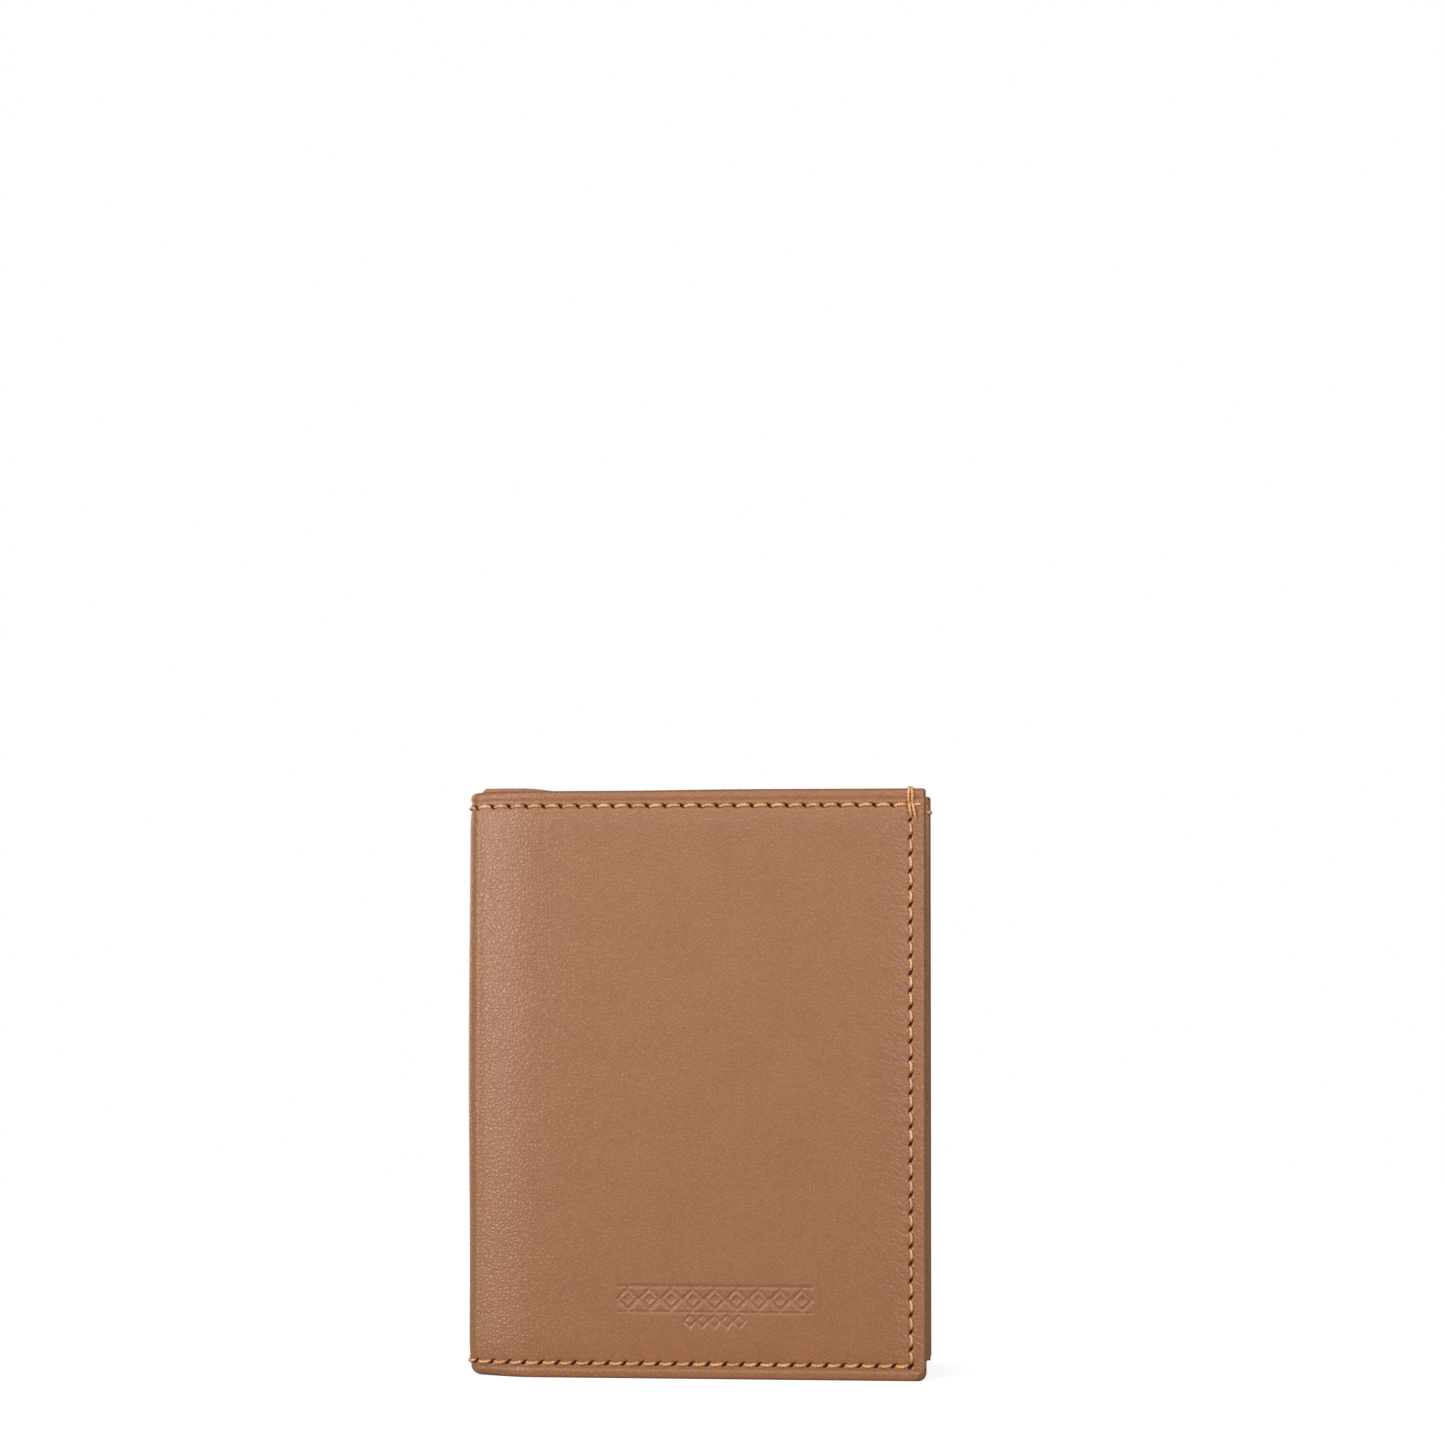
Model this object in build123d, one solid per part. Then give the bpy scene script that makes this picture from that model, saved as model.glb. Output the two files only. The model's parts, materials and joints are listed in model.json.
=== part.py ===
"""Upright bifold wallet, standing ajar on its lower edge.

The wallet is drawn shut, with the spine's nose at x = 0 and the halves either side of the
plane y = 0, the back half at +y. Each half is then turned about its crease to the ajar rest
position, and the whole is moved so that the origin is the middle of the box, at its base.
Every layer is placed by its depth under the outer skin.
"""
from build123d import *
import math
import os

os.makedirs("parts", exist_ok=True)

# ---- Overall sizes (mm), wallet shut -------------------------------------------------------
height = 125.0            # lower edge to upper edge of the cover
front_reach = 97.3        # nose of the spine to the front's free edge
back_reach = 101.2        # nose of the spine to the back's free edge
half_thickness = 6.4      # parting plane to the outer face of either cover
ajar_angle = 5.7          # each half's turn away from shut, at rest, in degrees

# ---- Spine and creases ---------------------------------------------------------------------
nose_radius = 3.0         # outer radius of the spine's two corners
nose_flat = 1.9           # half the width of the flat between those corners
turn_angle = 75.0         # where a corner hands over to the long bulge of the half
crease_angle = 45.0       # where each half hinges, half way round its corner
crease_gap = 0.24         # slot between a half and the spine at the crease

# ---- Layers, from the outer skin inwards ---------------------------------------------------
cover_leather = 1.2       # cover leather, hems pressed flat
stiffener_board = 0.3     # board let into the inner face of the cover
lining_cloth = 0.3        # cloth on the inner face of the cover
note_gap = 0.6            # room for banknotes between lining and divider
divider_leather = 0.5     # inner wall of the note compartment
panel_leather = 0.5       # backing panel that carries the card pockets
pocket_leather = 0.45     # one card pocket leaf
window_film_gauge = 0.2   # clear film of the identity window
window_leather = 0.7      # leather frame round that film

# ---- Edges and seams -----------------------------------------------------------------------
corner_radius = 1.6       # outline corners of the cover
rim_round = 0.7           # outer rim of the cover
seam_margin = 3.2         # seam to the edge of the cover
stitch_pitch = 3.6        # one stitch and the hole after it
stitch_length = 2.5       # thread that shows
thread = 0.7              # width of the thread
thread_rise = 0.3         # how far the thread stands off the leather
layer_inset = 0.8         # inner layers stop this far inside the cover's outline
divider_rise = 0.4        # divider stands this far above the cover beside the fold
divider_high_run = 12.0   # the divider stays high this far from the nose
divider_slope_run = 5.0   # and falls to the cover's height over this length
note_rim = 4.2            # the divider is joined to the lining this wide at two edges
board_inset = 5.2         # stiffener stops this far inside the cover's outline

# ---- Card pockets and window ---------------------------------------------------------------
pocket_clearance = 0.05   # pockets' inner edge to the place where the divider leaves the bulge
pocket_seam = 1.5         # pocket seam to the pockets' inner edge
lowest_pocket_top = 45.0  # a card 54 high stands out of its pocket
pocket_step = 11.0        # each further pocket opens this much higher
front_pockets = 5
back_pockets = 2
panel_drop = 1.5          # the backing panel's upper edge below the cover's
window_clearance = 2.0    # window frame above the highest pocket beside it
window_border = 6.5       # leather round the clear opening
window_corner = 3.0       # corner radius of that opening
film_tuck = 3.0           # film held under the frame all round

# ---- Worked out from the sizes above -------------------------------------------------------
turn = math.radians(turn_angle)
nose_centre = (nose_radius, nose_flat)
bulge_radius = (half_thickness - nose_flat - nose_radius * math.sin(turn)) / (1 - math.sin(turn))
bulge_centre = (
    nose_radius + (bulge_radius - nose_radius) * math.cos(turn),
    nose_flat - (bulge_radius - nose_radius) * math.sin(turn),
)
lining_depth = cover_leather + lining_cloth
divider_depth = lining_depth + note_gap
panel_depth = divider_depth + divider_leather
pocket_depth = panel_depth + panel_leather


def on_layer(depth, angle):
    """Point at a depth under the skin, where the skin faces `angle` degrees off the nose."""
    facing = math.radians(angle)
    centre = nose_centre if angle <= turn_angle else bulge_centre
    radius = (nose_radius if angle <= turn_angle else bulge_radius) - depth
    return (centre[0] - radius * math.cos(facing), centre[1] + radius * math.sin(facing))


crease_axis = on_layer(0, crease_angle)


def corner_arc(depth, first, last):
    """Arc of a layer between two facing angles on the same centre."""
    inside = 1e-9 if first >= turn_angle else 0
    start, middle, end = (on_layer(depth, a) for a in (first + inside, (first + last) / 2, last))
    return ThreePointArc(start, middle, end)


def level_angle(depth, drop):
    """Facing at which a layer on the bulge is as far out as a level `drop` deeper."""
    level_y = half_thickness - depth - drop
    return math.degrees(math.asin((level_y - bulge_centre[1]) / (bulge_radius - depth)))


divider_inner = lining_depth + divider_leather
pocket_start = on_layer(divider_inner, level_angle(divider_inner, note_gap))[0] + pocket_clearance


def layer_path(depth, end_x):
    """Line of one layer of a half, from the crease to its free end."""
    straight_y = half_thickness - depth
    return [
        corner_arc(depth, crease_angle, turn_angle),
        corner_arc(depth, turn_angle, 90),
        Line(on_layer(depth, 90), (end_x, straight_y)),
    ]


def divider_path(depth, drop, end_x):
    """Line of the divider: against the lining at the fold, then level, `drop` deeper."""
    leave = level_angle(depth, drop)
    return [
        corner_arc(depth, crease_angle, turn_angle),
        corner_arc(depth, turn_angle, leave),
        Line(on_layer(depth, leave), (end_x, half_thickness - depth - drop)),
    ]


def between(outer, inner):
    """Face between two lines that run the same way."""
    ends = [Line(outer[0] @ 0, inner[0] @ 0), Line(outer[-1] @ 1, inner[-1] @ 1)]
    return make_face(outer + inner + ends)


def raise_face(face, low, high):
    """Solid over a face in the XY plane, between two heights."""
    return extrude(Pos(0, 0, low) * face, amount=high - low, dir=(0, 0, 1))


def crease_slot():
    """Cutter that leaves the slot between the spine and the back half."""
    cutter = Box(8 * nose_radius, crease_gap, 3 * height)
    return Pos(*nose_centre, height / 2) * Rot(0, 0, 180 - crease_angle) * cutter


def slab(start_x, end_x, depth, gauge, low, high):
    """Flat layer of a half, placed by its depth under the skin."""
    box = Box(end_x - start_x, gauge, high - low, align=(Align.MIN, Align.MAX, Align.MIN))
    return Pos(start_x, half_thickness - depth, low) * box


def round_free_corners(solid, radius):
    """Round the two outline corners at a half's free edge."""
    ends = solid.edges().filter_by(Axis.Y).group_by(Axis.X)[-1]
    return fillet(ends, radius)


def is_on_rim(edge, reach):
    """Whether an edge belongs to the outer rim of a cover half."""
    middle = edge @ 0.5
    on_skin = abs(middle.Y - half_thickness) < 1e-3
    if middle.X < bulge_centre[0]:
        centre = bulge_centre if middle.X > on_layer(0, turn_angle)[0] else nose_centre
        radius = bulge_radius if centre is bulge_centre else nose_radius
        distance = math.hypot(middle.X - centre[0], middle.Y - centre[1])
        on_skin = abs(distance - radius) < 1e-3
    at_end = middle.Z < corner_radius or middle.Z > height - corner_radius
    return on_skin and (at_end or middle.X > reach - corner_radius)


# ---- Pieces of one half, drawn at +y -------------------------------------------------------
def cover_half(reach):
    """Cover leather of one half, with the recess for its stiffener."""
    section = between(layer_path(0, reach), layer_path(cover_leather, reach))
    leather = round_free_corners(raise_face(section, 0, height), corner_radius)
    leather = fillet([e for e in leather.edges() if is_on_rim(e, reach)], rim_round)
    return leather - crease_slot() - stiffener(reach)


def stiffener(reach):
    """Board let into the cover, clear of the fold and of the seams."""
    depth = cover_leather - stiffener_board
    end_x = reach - board_inset
    return slab(bulge_centre[0], end_x, depth, stiffener_board, board_inset, height - board_inset)


def lining_half(reach):
    """Cloth on the inner face of the cover."""
    end_x = reach - layer_inset
    section = between(layer_path(cover_leather, end_x), layer_path(lining_depth, end_x))
    return raise_face(section, layer_inset, height - layer_inset) - crease_slot()


def divider_half(reach):
    """Inner wall of the note compartment, high beside the fold, with its joined rim."""
    end_x = reach - layer_inset
    outer = divider_path(lining_depth, note_gap, end_x)
    inner = divider_path(divider_inner, note_gap, end_x)
    wall = raise_face(between(outer, inner), layer_inset, height + divider_rise)
    low_x = divider_high_run + divider_slope_run
    level = height - layer_inset
    top = Polyline(
        (divider_high_run, 0, height + divider_rise), (low_x, 0, level), (reach, 0, level),
        (reach, 0, height + 2 * divider_rise), (divider_high_run, 0, height + 2 * divider_rise),
        close=True,
    )
    wall -= extrude(make_face(top), amount=half_thickness, dir=(0, 1, 0))
    rim_start = bulge_centre[0]
    rim_depth = lining_depth
    lower_rim = slab(rim_start, end_x, rim_depth, note_gap, layer_inset, note_rim)
    side_rim = slab(reach - note_rim, end_x, rim_depth, note_gap, layer_inset, level)
    return wall + lower_rim + side_rim - crease_slot()


def leaf(reach, depth, gauge, top):
    """Flat inner leaf from the lower seam up to `top`."""
    return slab(pocket_start, reach - layer_inset, depth, gauge, layer_inset, top)


def backing_panel(reach):
    return leaf(reach, panel_depth, panel_leather, height - panel_drop)


def pocket_top(number):
    """Height of the opening of pocket `number`, counted from the lowest."""
    return lowest_pocket_top + pocket_step * (number - 1)


def pocket_leaf(reach, number, count):
    """Leaf of pocket `number`: the highest pocket lies next to the backing panel."""
    depth = pocket_depth + pocket_leather * (count - number)
    return leaf(reach, depth, pocket_leather, pocket_top(number))


def window_sheet(reach, inset, depth, gauge):
    """Rectangle over the window's place, drawn in by `inset` on every side."""
    low = pocket_top(back_pockets) + window_clearance
    high = height - panel_drop
    return slab(
        pocket_start + inset, reach - layer_inset - inset, depth, gauge, low + inset, high - inset
    )


def window_film(reach):
    return window_sheet(reach, window_border - film_tuck, pocket_depth, window_film_gauge)


def window_frame(reach):
    """Leather frame with its clear opening and the rebate that holds the film."""
    frame = window_sheet(reach, 0, pocket_depth, window_leather)
    opening = window_sheet(reach, window_border, pocket_depth - 1, window_leather + 2)
    opening = fillet(opening.edges().filter_by(Axis.Y), window_corner)
    return frame - opening - window_film(reach)


# ---- Pieces of the spine -------------------------------------------------------------------
def spine_path(depth):
    """Line of one layer round the nose, from crease to crease."""
    top = on_layer(depth, crease_angle)
    half_way = on_layer(depth, crease_angle / 2)
    shoulder = on_layer(depth, 0)
    return [
        ThreePointArc((top[0], -top[1]), (half_way[0], -half_way[1]), (depth, -shoulder[1])),
        Line((depth, -nose_flat), (depth, nose_flat)),
        ThreePointArc(shoulder, half_way, top),
    ]


def spine_layer(depth, gauge, low, high):
    """One layer round the nose, clear of both halves."""
    solid = raise_face(between(spine_path(depth), spine_path(depth + gauge)), low, high)
    return solid - crease_slot() - mirror(crease_slot(), about=Plane.XZ)


def spine_cover():
    leather = spine_layer(0, cover_leather, 0, height)
    ends = leather.edges().group_by(Axis.Z)
    skin = [e for e in list(ends[0]) + list(ends[-1]) if is_outer_of_spine(e)]
    return fillet(skin, rim_round)


def is_outer_of_spine(edge):
    """Whether an end edge of the spine's cover lies on the outer skin."""
    middle = edge @ 0.5
    if abs(middle.Y) < nose_flat:
        return middle.X < 1e-3
    distance = math.hypot(middle.X - nose_centre[0], abs(middle.Y) - nose_centre[1])
    return abs(distance - nose_radius) < 1e-3


# ---- Seams ---------------------------------------------------------------------------------
def stitch(point, facing, along_skin, lift):
    """One stitch lying on a surface that faces `facing` degrees off the nose."""
    angle = math.radians(facing)
    normal = Vector(-math.cos(angle), math.sin(angle), 0) * lift
    sideways = Vector(math.sin(angle), math.cos(angle), 0)
    run = sideways if along_skin else Vector(0, 0, 1)
    lying = Plane(origin=Vector(*point), x_dir=run, z_dir=normal)
    box = Box(stitch_length, thread, thread_rise, align=(Align.CENTER, Align.CENTER, Align.MIN))
    return lying * box


def spread(first, last, pitch=stitch_pitch):
    """Places at even steps near the pitch, from first to last."""
    steps = max(1, round((last - first) / pitch))
    return [first + (last - first) * n / steps for n in range(steps + 1)]


def skin_station(distance):
    """Point on the skin and its facing, at a distance from the crease along the skin."""
    corner = nose_radius * math.radians(turn_angle - crease_angle)
    bulge = bulge_radius * math.radians(90 - turn_angle)
    if distance < corner:
        facing = crease_angle + math.degrees(distance / nose_radius)
    elif distance < corner + bulge:
        facing = turn_angle + math.degrees((distance - corner) / bulge_radius)
    else:
        return (bulge_centre[0] + distance - corner - bulge, half_thickness), 90
    return on_layer(0, facing), facing


def outer_seam(reach):
    """Stitches along the upper, free and lower edges of one cover half."""
    corner = nose_radius * math.radians(turn_angle - crease_angle)
    bulge = bulge_radius * math.radians(90 - turn_angle)
    run = corner + bulge + reach - bulge_centre[0] - seam_margin
    stitches = []
    for distance in spread(stitch_pitch / 2, run - stitch_pitch / 2):
        place, facing = skin_station(distance)
        for z in (seam_margin, height - seam_margin):
            stitches.append(stitch((*place, z), facing, True, 1))
    for z in spread(seam_margin + stitch_pitch / 2, height - seam_margin - stitch_pitch / 2):
        stitches.append(stitch((reach - seam_margin, half_thickness, z), 90, False, 1))
    return Compound(stitches)


def spine_seam():
    """Stitches round the nose at the upper and lower edges."""
    facing = crease_angle / 2
    place = on_layer(0, facing)
    stitches = []
    for z in (seam_margin, height - seam_margin):
        one = stitch((*place, z), facing, True, 1)
        stitches += [one, mirror(one, about=Plane.XZ)]
    return Compound(stitches)


def face_depth(z, count, has_window):
    """Depth of the innermost face of a half at a height, beside its pocket seams."""
    covering = [n for n in range(1, count + 1) if pocket_top(n) > z - stitch_length / 2]
    if covering:
        return pocket_depth + pocket_leather * (count - min(covering) + 1)
    return pocket_depth + (window_leather if has_window else 0)


def inner_seam(reach, count, has_window):
    """Stitches on the inner face: up both edges of the pockets and along their lower edge."""
    edges = (pocket_start + pocket_seam, reach - seam_margin)
    low, high = seam_margin, height - panel_drop - seam_margin
    gap = (pocket_top(count), pocket_top(count) + window_clearance)
    stitches = []
    for z in spread(low + stitch_pitch / 2, high):
        crosses_gap = gap[0] - stitch_length / 2 < z < gap[1] + stitch_length / 2
        if has_window and crosses_gap:
            continue
        level = half_thickness - face_depth(z, count, has_window)
        stitches += [stitch((x, level, z), 90, False, -1) for x in edges]
    level = half_thickness - face_depth(low, count, has_window)
    for x in spread(edges[0] + stitch_pitch / 2, edges[1] - stitch_pitch / 2):
        stitches.append(stitch((x, level, low), 90, True, -1))
    return Compound(stitches)


# ---- The wallet ----------------------------------------------------------------------------
def half_pieces(side, reach, pockets, has_window):
    """Named pieces of one half, drawn at +y."""
    pieces = {
        f"cover_{side}": cover_half(reach),
        f"stiffener_{side}": stiffener(reach),
        f"lining_{side}": lining_half(reach),
        f"note_divider_{side}": divider_half(reach),
        f"backing_panel_{side}": backing_panel(reach),
        f"outer_seam_{side}": outer_seam(reach),
        f"inner_seam_{side}": inner_seam(reach, pockets, has_window),
    }
    for number in range(1, pockets + 1):
        pieces[f"card_pocket_{side}_{number}"] = pocket_leaf(reach, number, pockets)
    if has_window:
        pieces["window_film"] = window_film(reach)
        pieces["window_frame"] = window_frame(reach)
    return pieces


def turned(solid, side):
    """A half's piece turned about its crease from shut to the ajar rest position."""
    hinge = Pos(*crease_axis, 0)
    swung = hinge * Rot(0, 0, ajar_angle) * hinge.inverse() * solid
    return mirror(swung, about=Plane.XZ) if side == "front" else swung


bodies = {
    "back_half": {
        name: turned(solid, "back")
        for name, solid in half_pieces("back", back_reach, back_pockets, True).items()
    },
    "spine": {
        "cover_spine": spine_cover(),
        "lining_spine": spine_layer(cover_leather, lining_cloth, layer_inset, height - layer_inset),
        "note_divider_spine": spine_layer(
            lining_depth, divider_leather, layer_inset, height + divider_rise
        ),
        "outer_seam_spine": spine_seam(),
    },
    "front_half": {
        name: turned(solid, "front")
        for name, solid in half_pieces("front", front_reach, front_pockets, False).items()
    },
}

# The origin is the middle of the whole wallet's box, at its base.
whole = Compound([s for pieces in bodies.values() for s in pieces.values()]).bounding_box()
shift = (-whole.center().X, -whole.center().Y)
creases = {
    "back": (crease_axis[0] + shift[0], crease_axis[1] + shift[1]),
    "front": (crease_axis[0] + shift[0], -crease_axis[1] + shift[1]),
}

for pieces in bodies.values():
    for name, solid in pieces.items():
        export_step(Pos(*shift, 0) * solid, f"parts/{name}.step")

print("creases at x, y:", creases)
print("box:", whole.size)
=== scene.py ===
"""Upright bifold wallet: skins, leaves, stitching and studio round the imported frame."""
import json
import math

import bpy
import numpy as np
from bpy.props import FloatProperty, FloatVectorProperty, IntProperty, PointerProperty
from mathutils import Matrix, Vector


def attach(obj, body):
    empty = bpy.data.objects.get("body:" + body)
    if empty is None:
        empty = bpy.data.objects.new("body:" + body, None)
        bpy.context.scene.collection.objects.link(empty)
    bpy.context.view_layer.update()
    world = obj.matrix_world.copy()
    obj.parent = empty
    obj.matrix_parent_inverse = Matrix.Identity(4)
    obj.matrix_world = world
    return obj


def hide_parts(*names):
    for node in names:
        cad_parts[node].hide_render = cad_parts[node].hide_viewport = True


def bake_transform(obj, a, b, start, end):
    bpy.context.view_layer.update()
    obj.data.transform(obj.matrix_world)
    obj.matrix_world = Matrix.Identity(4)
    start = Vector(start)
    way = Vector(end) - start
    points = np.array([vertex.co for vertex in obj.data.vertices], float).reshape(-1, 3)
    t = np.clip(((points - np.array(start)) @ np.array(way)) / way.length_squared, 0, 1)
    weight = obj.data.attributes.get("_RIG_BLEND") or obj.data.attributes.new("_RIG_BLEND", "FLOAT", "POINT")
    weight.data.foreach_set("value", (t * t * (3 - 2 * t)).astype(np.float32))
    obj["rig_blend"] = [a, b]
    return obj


bl_info = {
    "name": "Bifold wallet",
    "version": (1, 0, 0),
    "blender": (4, 5, 0),
    "location": "3D View > Sidebar > Wallet",
    "description": "Builds the leather, cloth, film and stitching of an upright bifold wallet",
    "category": "Object",
}

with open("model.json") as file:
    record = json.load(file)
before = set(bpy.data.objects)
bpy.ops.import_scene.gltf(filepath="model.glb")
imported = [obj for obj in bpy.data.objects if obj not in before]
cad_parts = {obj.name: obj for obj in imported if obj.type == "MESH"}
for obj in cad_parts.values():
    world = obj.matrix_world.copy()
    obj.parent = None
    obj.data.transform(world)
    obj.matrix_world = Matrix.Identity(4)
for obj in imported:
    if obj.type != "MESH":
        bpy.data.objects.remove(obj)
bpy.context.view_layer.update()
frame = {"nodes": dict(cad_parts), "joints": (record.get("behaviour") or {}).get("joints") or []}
MM = 0.001
JOINTS = {joint["name"]: joint for joint in frame["joints"]}
FRONT, BACK = -1, 1
HALVES = {FRONT: "front", BACK: "back"}
UP = np.array([0.0, 0.0, 1.0])
POCKET_START = 7.12 * MM  # Nearest x of panels and pockets, where the divider leaves the bulge
LEAF_DROP = 1.5 * MM  # Upper edge of panels and window frame, under the cover's
WINDOW_GAP = 2.0 * MM  # Between the upper back pocket's mouth and the window frame
TACK_ROOM = 6.6 * MM  # Between the front's free row and the upper edge, for the back-tack
NOSE_SHARE = 0.62  # Share of a full round that the spine's ends are pulled in by


# ---- Sizes and colours a maker would change -------------------------------------------------
def length(name, description, millimetres):
    """A length property, kept in metres."""
    return FloatProperty(
        name=name, description=description, default=millimetres * MM, min=0.0, precision=5,
        unit="LENGTH",
    )


def colour(name, description, rgb):
    """A linear colour property."""
    return FloatVectorProperty(
        name=name, description=description, default=rgb, size=3, min=0.0, max=1.0, subtype="COLOR",
    )


def factor(name, description, value, high=1.0):
    """A plain number property."""
    return FloatProperty(name=name, description=description, default=value, min=0.0, max=high)


def whole(name, description, value):
    """A whole number property."""
    return IntProperty(name=name, description=description, default=value)


def angle(name, description, degrees):
    """An angle property."""
    return FloatProperty(
        name=name, description=description, default=math.radians(degrees), subtype="ANGLE",
    )


class WalletBody(bpy.types.PropertyGroup):
    """Sizes of the folded leather body."""

    height: length("Height", "Cover height, lower edge to upper edge", 125.0)
    front_reach: length("Front reach", "Spine nose to the front's free edge, shut", 97.3)
    back_reach: length("Back reach", "Spine nose to the back's free edge, shut", 101.2)
    half_thickness: length("Half thickness", "Parting plane to a cover's outer face, shut", 6.4)
    nose_radius: length("Nose radius", "Outer radius of the spine's two corners", 3.0)
    nose_flat: length("Nose flat", "Half the width of the flat between those corners", 1.9)
    turn_angle: angle("Turn angle", "Where a corner hands over to the long bulge", 75.0)
    crease_angle: angle("Crease angle", "Where each half hinges round its corner", 45.0)
    ajar_angle: angle("Ajar angle", "Each half's turn away from shut at rest", 5.7)
    bend_reach: length("Bend reach", "Skin each side of a crease that takes the bend", 4.2)
    corner_low: length("Lower corner", "Radius of the cover's lower free corner", 1.9)
    corner_high: length("Upper corner", "Radius of the cover's upper free corner", 0.7)
    nose_foot: length("Nose foot", "Round pulled into the spine's lower end", 3.4)
    nose_head: length("Nose head", "Round pulled into the spine's upper end", 1.3)
    nose_drop: length("Nose drop", "How far the upper edge dips at the spine", 0.3)
    edge_sag: length("Edge sag", "How far the rolled upper edge sags beside the spine", 0.22)


class WalletLayers(bpy.types.PropertyGroup):
    """Gauges of the layers, from the outer skin inwards."""

    cover: length("Cover", "Cover leather with its hems pressed flat", 1.2)
    lining: length("Lining", "Cloth on the inner face of the cover", 0.3)
    note_gap: length("Note gap", "Room for banknotes", 0.6)
    divider: length("Divider", "Inner wall of the note compartment", 0.5)
    panel: length("Panel", "Backing panel behind the card pockets", 0.5)
    pocket: length("Pocket", "One card pocket leaf", 0.45)
    window: length("Window frame", "Leather frame round the film", 0.7)
    film: length("Film", "Clear film of the identity window", 0.2)
    inset: length("Inset", "Inner layers stop this far inside the cover's outline", 0.8)


class WalletPockets(bpy.types.PropertyGroup):
    """Places of the card pockets and the identity window."""

    lowest_top: length("Lowest opening", "Height of the lowest pocket's opening", 45.0)
    step: length("Step", "Each further pocket opens this much higher", 11.0)
    front_count: whole("Front pockets", "Card pockets in the front", 5)
    back_count: whole("Back pockets", "Card pockets in the back", 2)
    border: length("Window border", "Leather round the window's clear opening", 6.5)
    window_corner: length("Window corner", "Corner radius of the clear opening", 3.0)
    crease: length("Edge crease", "Pressed line to the edge of a pocket's mouth", 1.5)


class WalletSeams(bpy.types.PropertyGroup):
    """Stitching sizes."""

    margin: length("Margin", "Seam to the edge of the cover", 3.25)
    margin_top: length("Upper margin", "Upper seam to the cover's upper edge", 3.5)
    pitch: length("Pitch", "One stitch and the hole after it", 3.6)
    stitch: length("Stitch", "One stitch, hole to hole", 3.15)
    thread: length("Thread", "Width of the thread", 0.8)
    rise: length("Rise", "How far a stitch stands off the leather", 0.2)
    sink: length("Sink", "How far a stitch's ends go into the leather", 0.7)
    bow: length("Bow", "How far a stitch's middle lies outside its ends", 0.34)
    inner_margin: length("Inner margin", "Pocket seam to the pockets' inner edge", 1.5)
    twist: factor("Twist", "Turns of the thread's plies over one stitch", 2.0, 10.0)
    slant: angle("Slant", "How far a stitch leans off its seam", 4.0)
    seed: whole("Seed", "Seed of the stitches' small differences", 7)


class WalletLook(bpy.types.PropertyGroup):
    """Colours of the finishes."""

    leather: colour("Leather", "Tan cover leather", (0.375, 0.16, 0.069))
    # The grain's pores take this colour, and so does the painted shade along the cover's rolled edges and in
    # its lower corner's pleat.
    leather_deep: colour(
        "Leather, worked", "The same leather in its pores and creases", (0.2, 0.072, 0.026),
    )
    inner: colour("Inner leather", "Tan leather of panels and pockets", (0.39, 0.18, 0.09))
    thread: colour("Thread", "Golden waxed thread", (0.95, 0.49, 0.22))
    # Painted shade: the nearly black inside of a needle hole, which is not cut into the leather.
    hole: colour("Needle hole", "Inside of a needle hole", (0.04, 0.011, 0.003))
    cloth: colour("Lining cloth", "Brown twill", (0.12, 0.066, 0.038))
    board: colour("Board", "Fibre board", (0.42, 0.34, 0.25))
    grain: length("Grain", "Size of one pebble of the leather's grain", 0.82)


class WalletStage(bpy.types.PropertyGroup):
    """Camera and light."""

    camera_side: length("Camera side", "Camera's place left of the wallet's middle", 10.42)
    camera_away: length("Camera distance", "Camera's distance in front of the wallet", 639.9)
    camera_height: length("Camera height", "Camera's height over the floor", 87.0)
    camera_turn: angle("Camera turn", "Camera's turn to the right", 1.291)
    camera_pitch: angle("Camera pitch", "Camera's tilt upwards", 1.15)
    lens: factor("Lens", "Focal length on a 36 mm sensor", 73.82, 300.0)
    shift: factor("Shift", "Upward shift of the lens, as a share of the frame", 0.1288)
    dome: factor("Dome", "Strength of the even light all round", 0.26, 10.0)
    floor_glow: factor("Floor glow", "White that the camera sees added to the floor", 0.75, 10.0)
    key: factor("Key", "Light of the tall softbox in front on the left", 0.64, 10.0)
    side: factor("Side", "Light of the softbox in front on the right", 0.19, 10.0)
    front: factor("Front", "Light of the large softbox above the camera", 0.33, 10.0)
    rim: factor("Rim", "Light of the panel behind", 0.35, 10.0)


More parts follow.
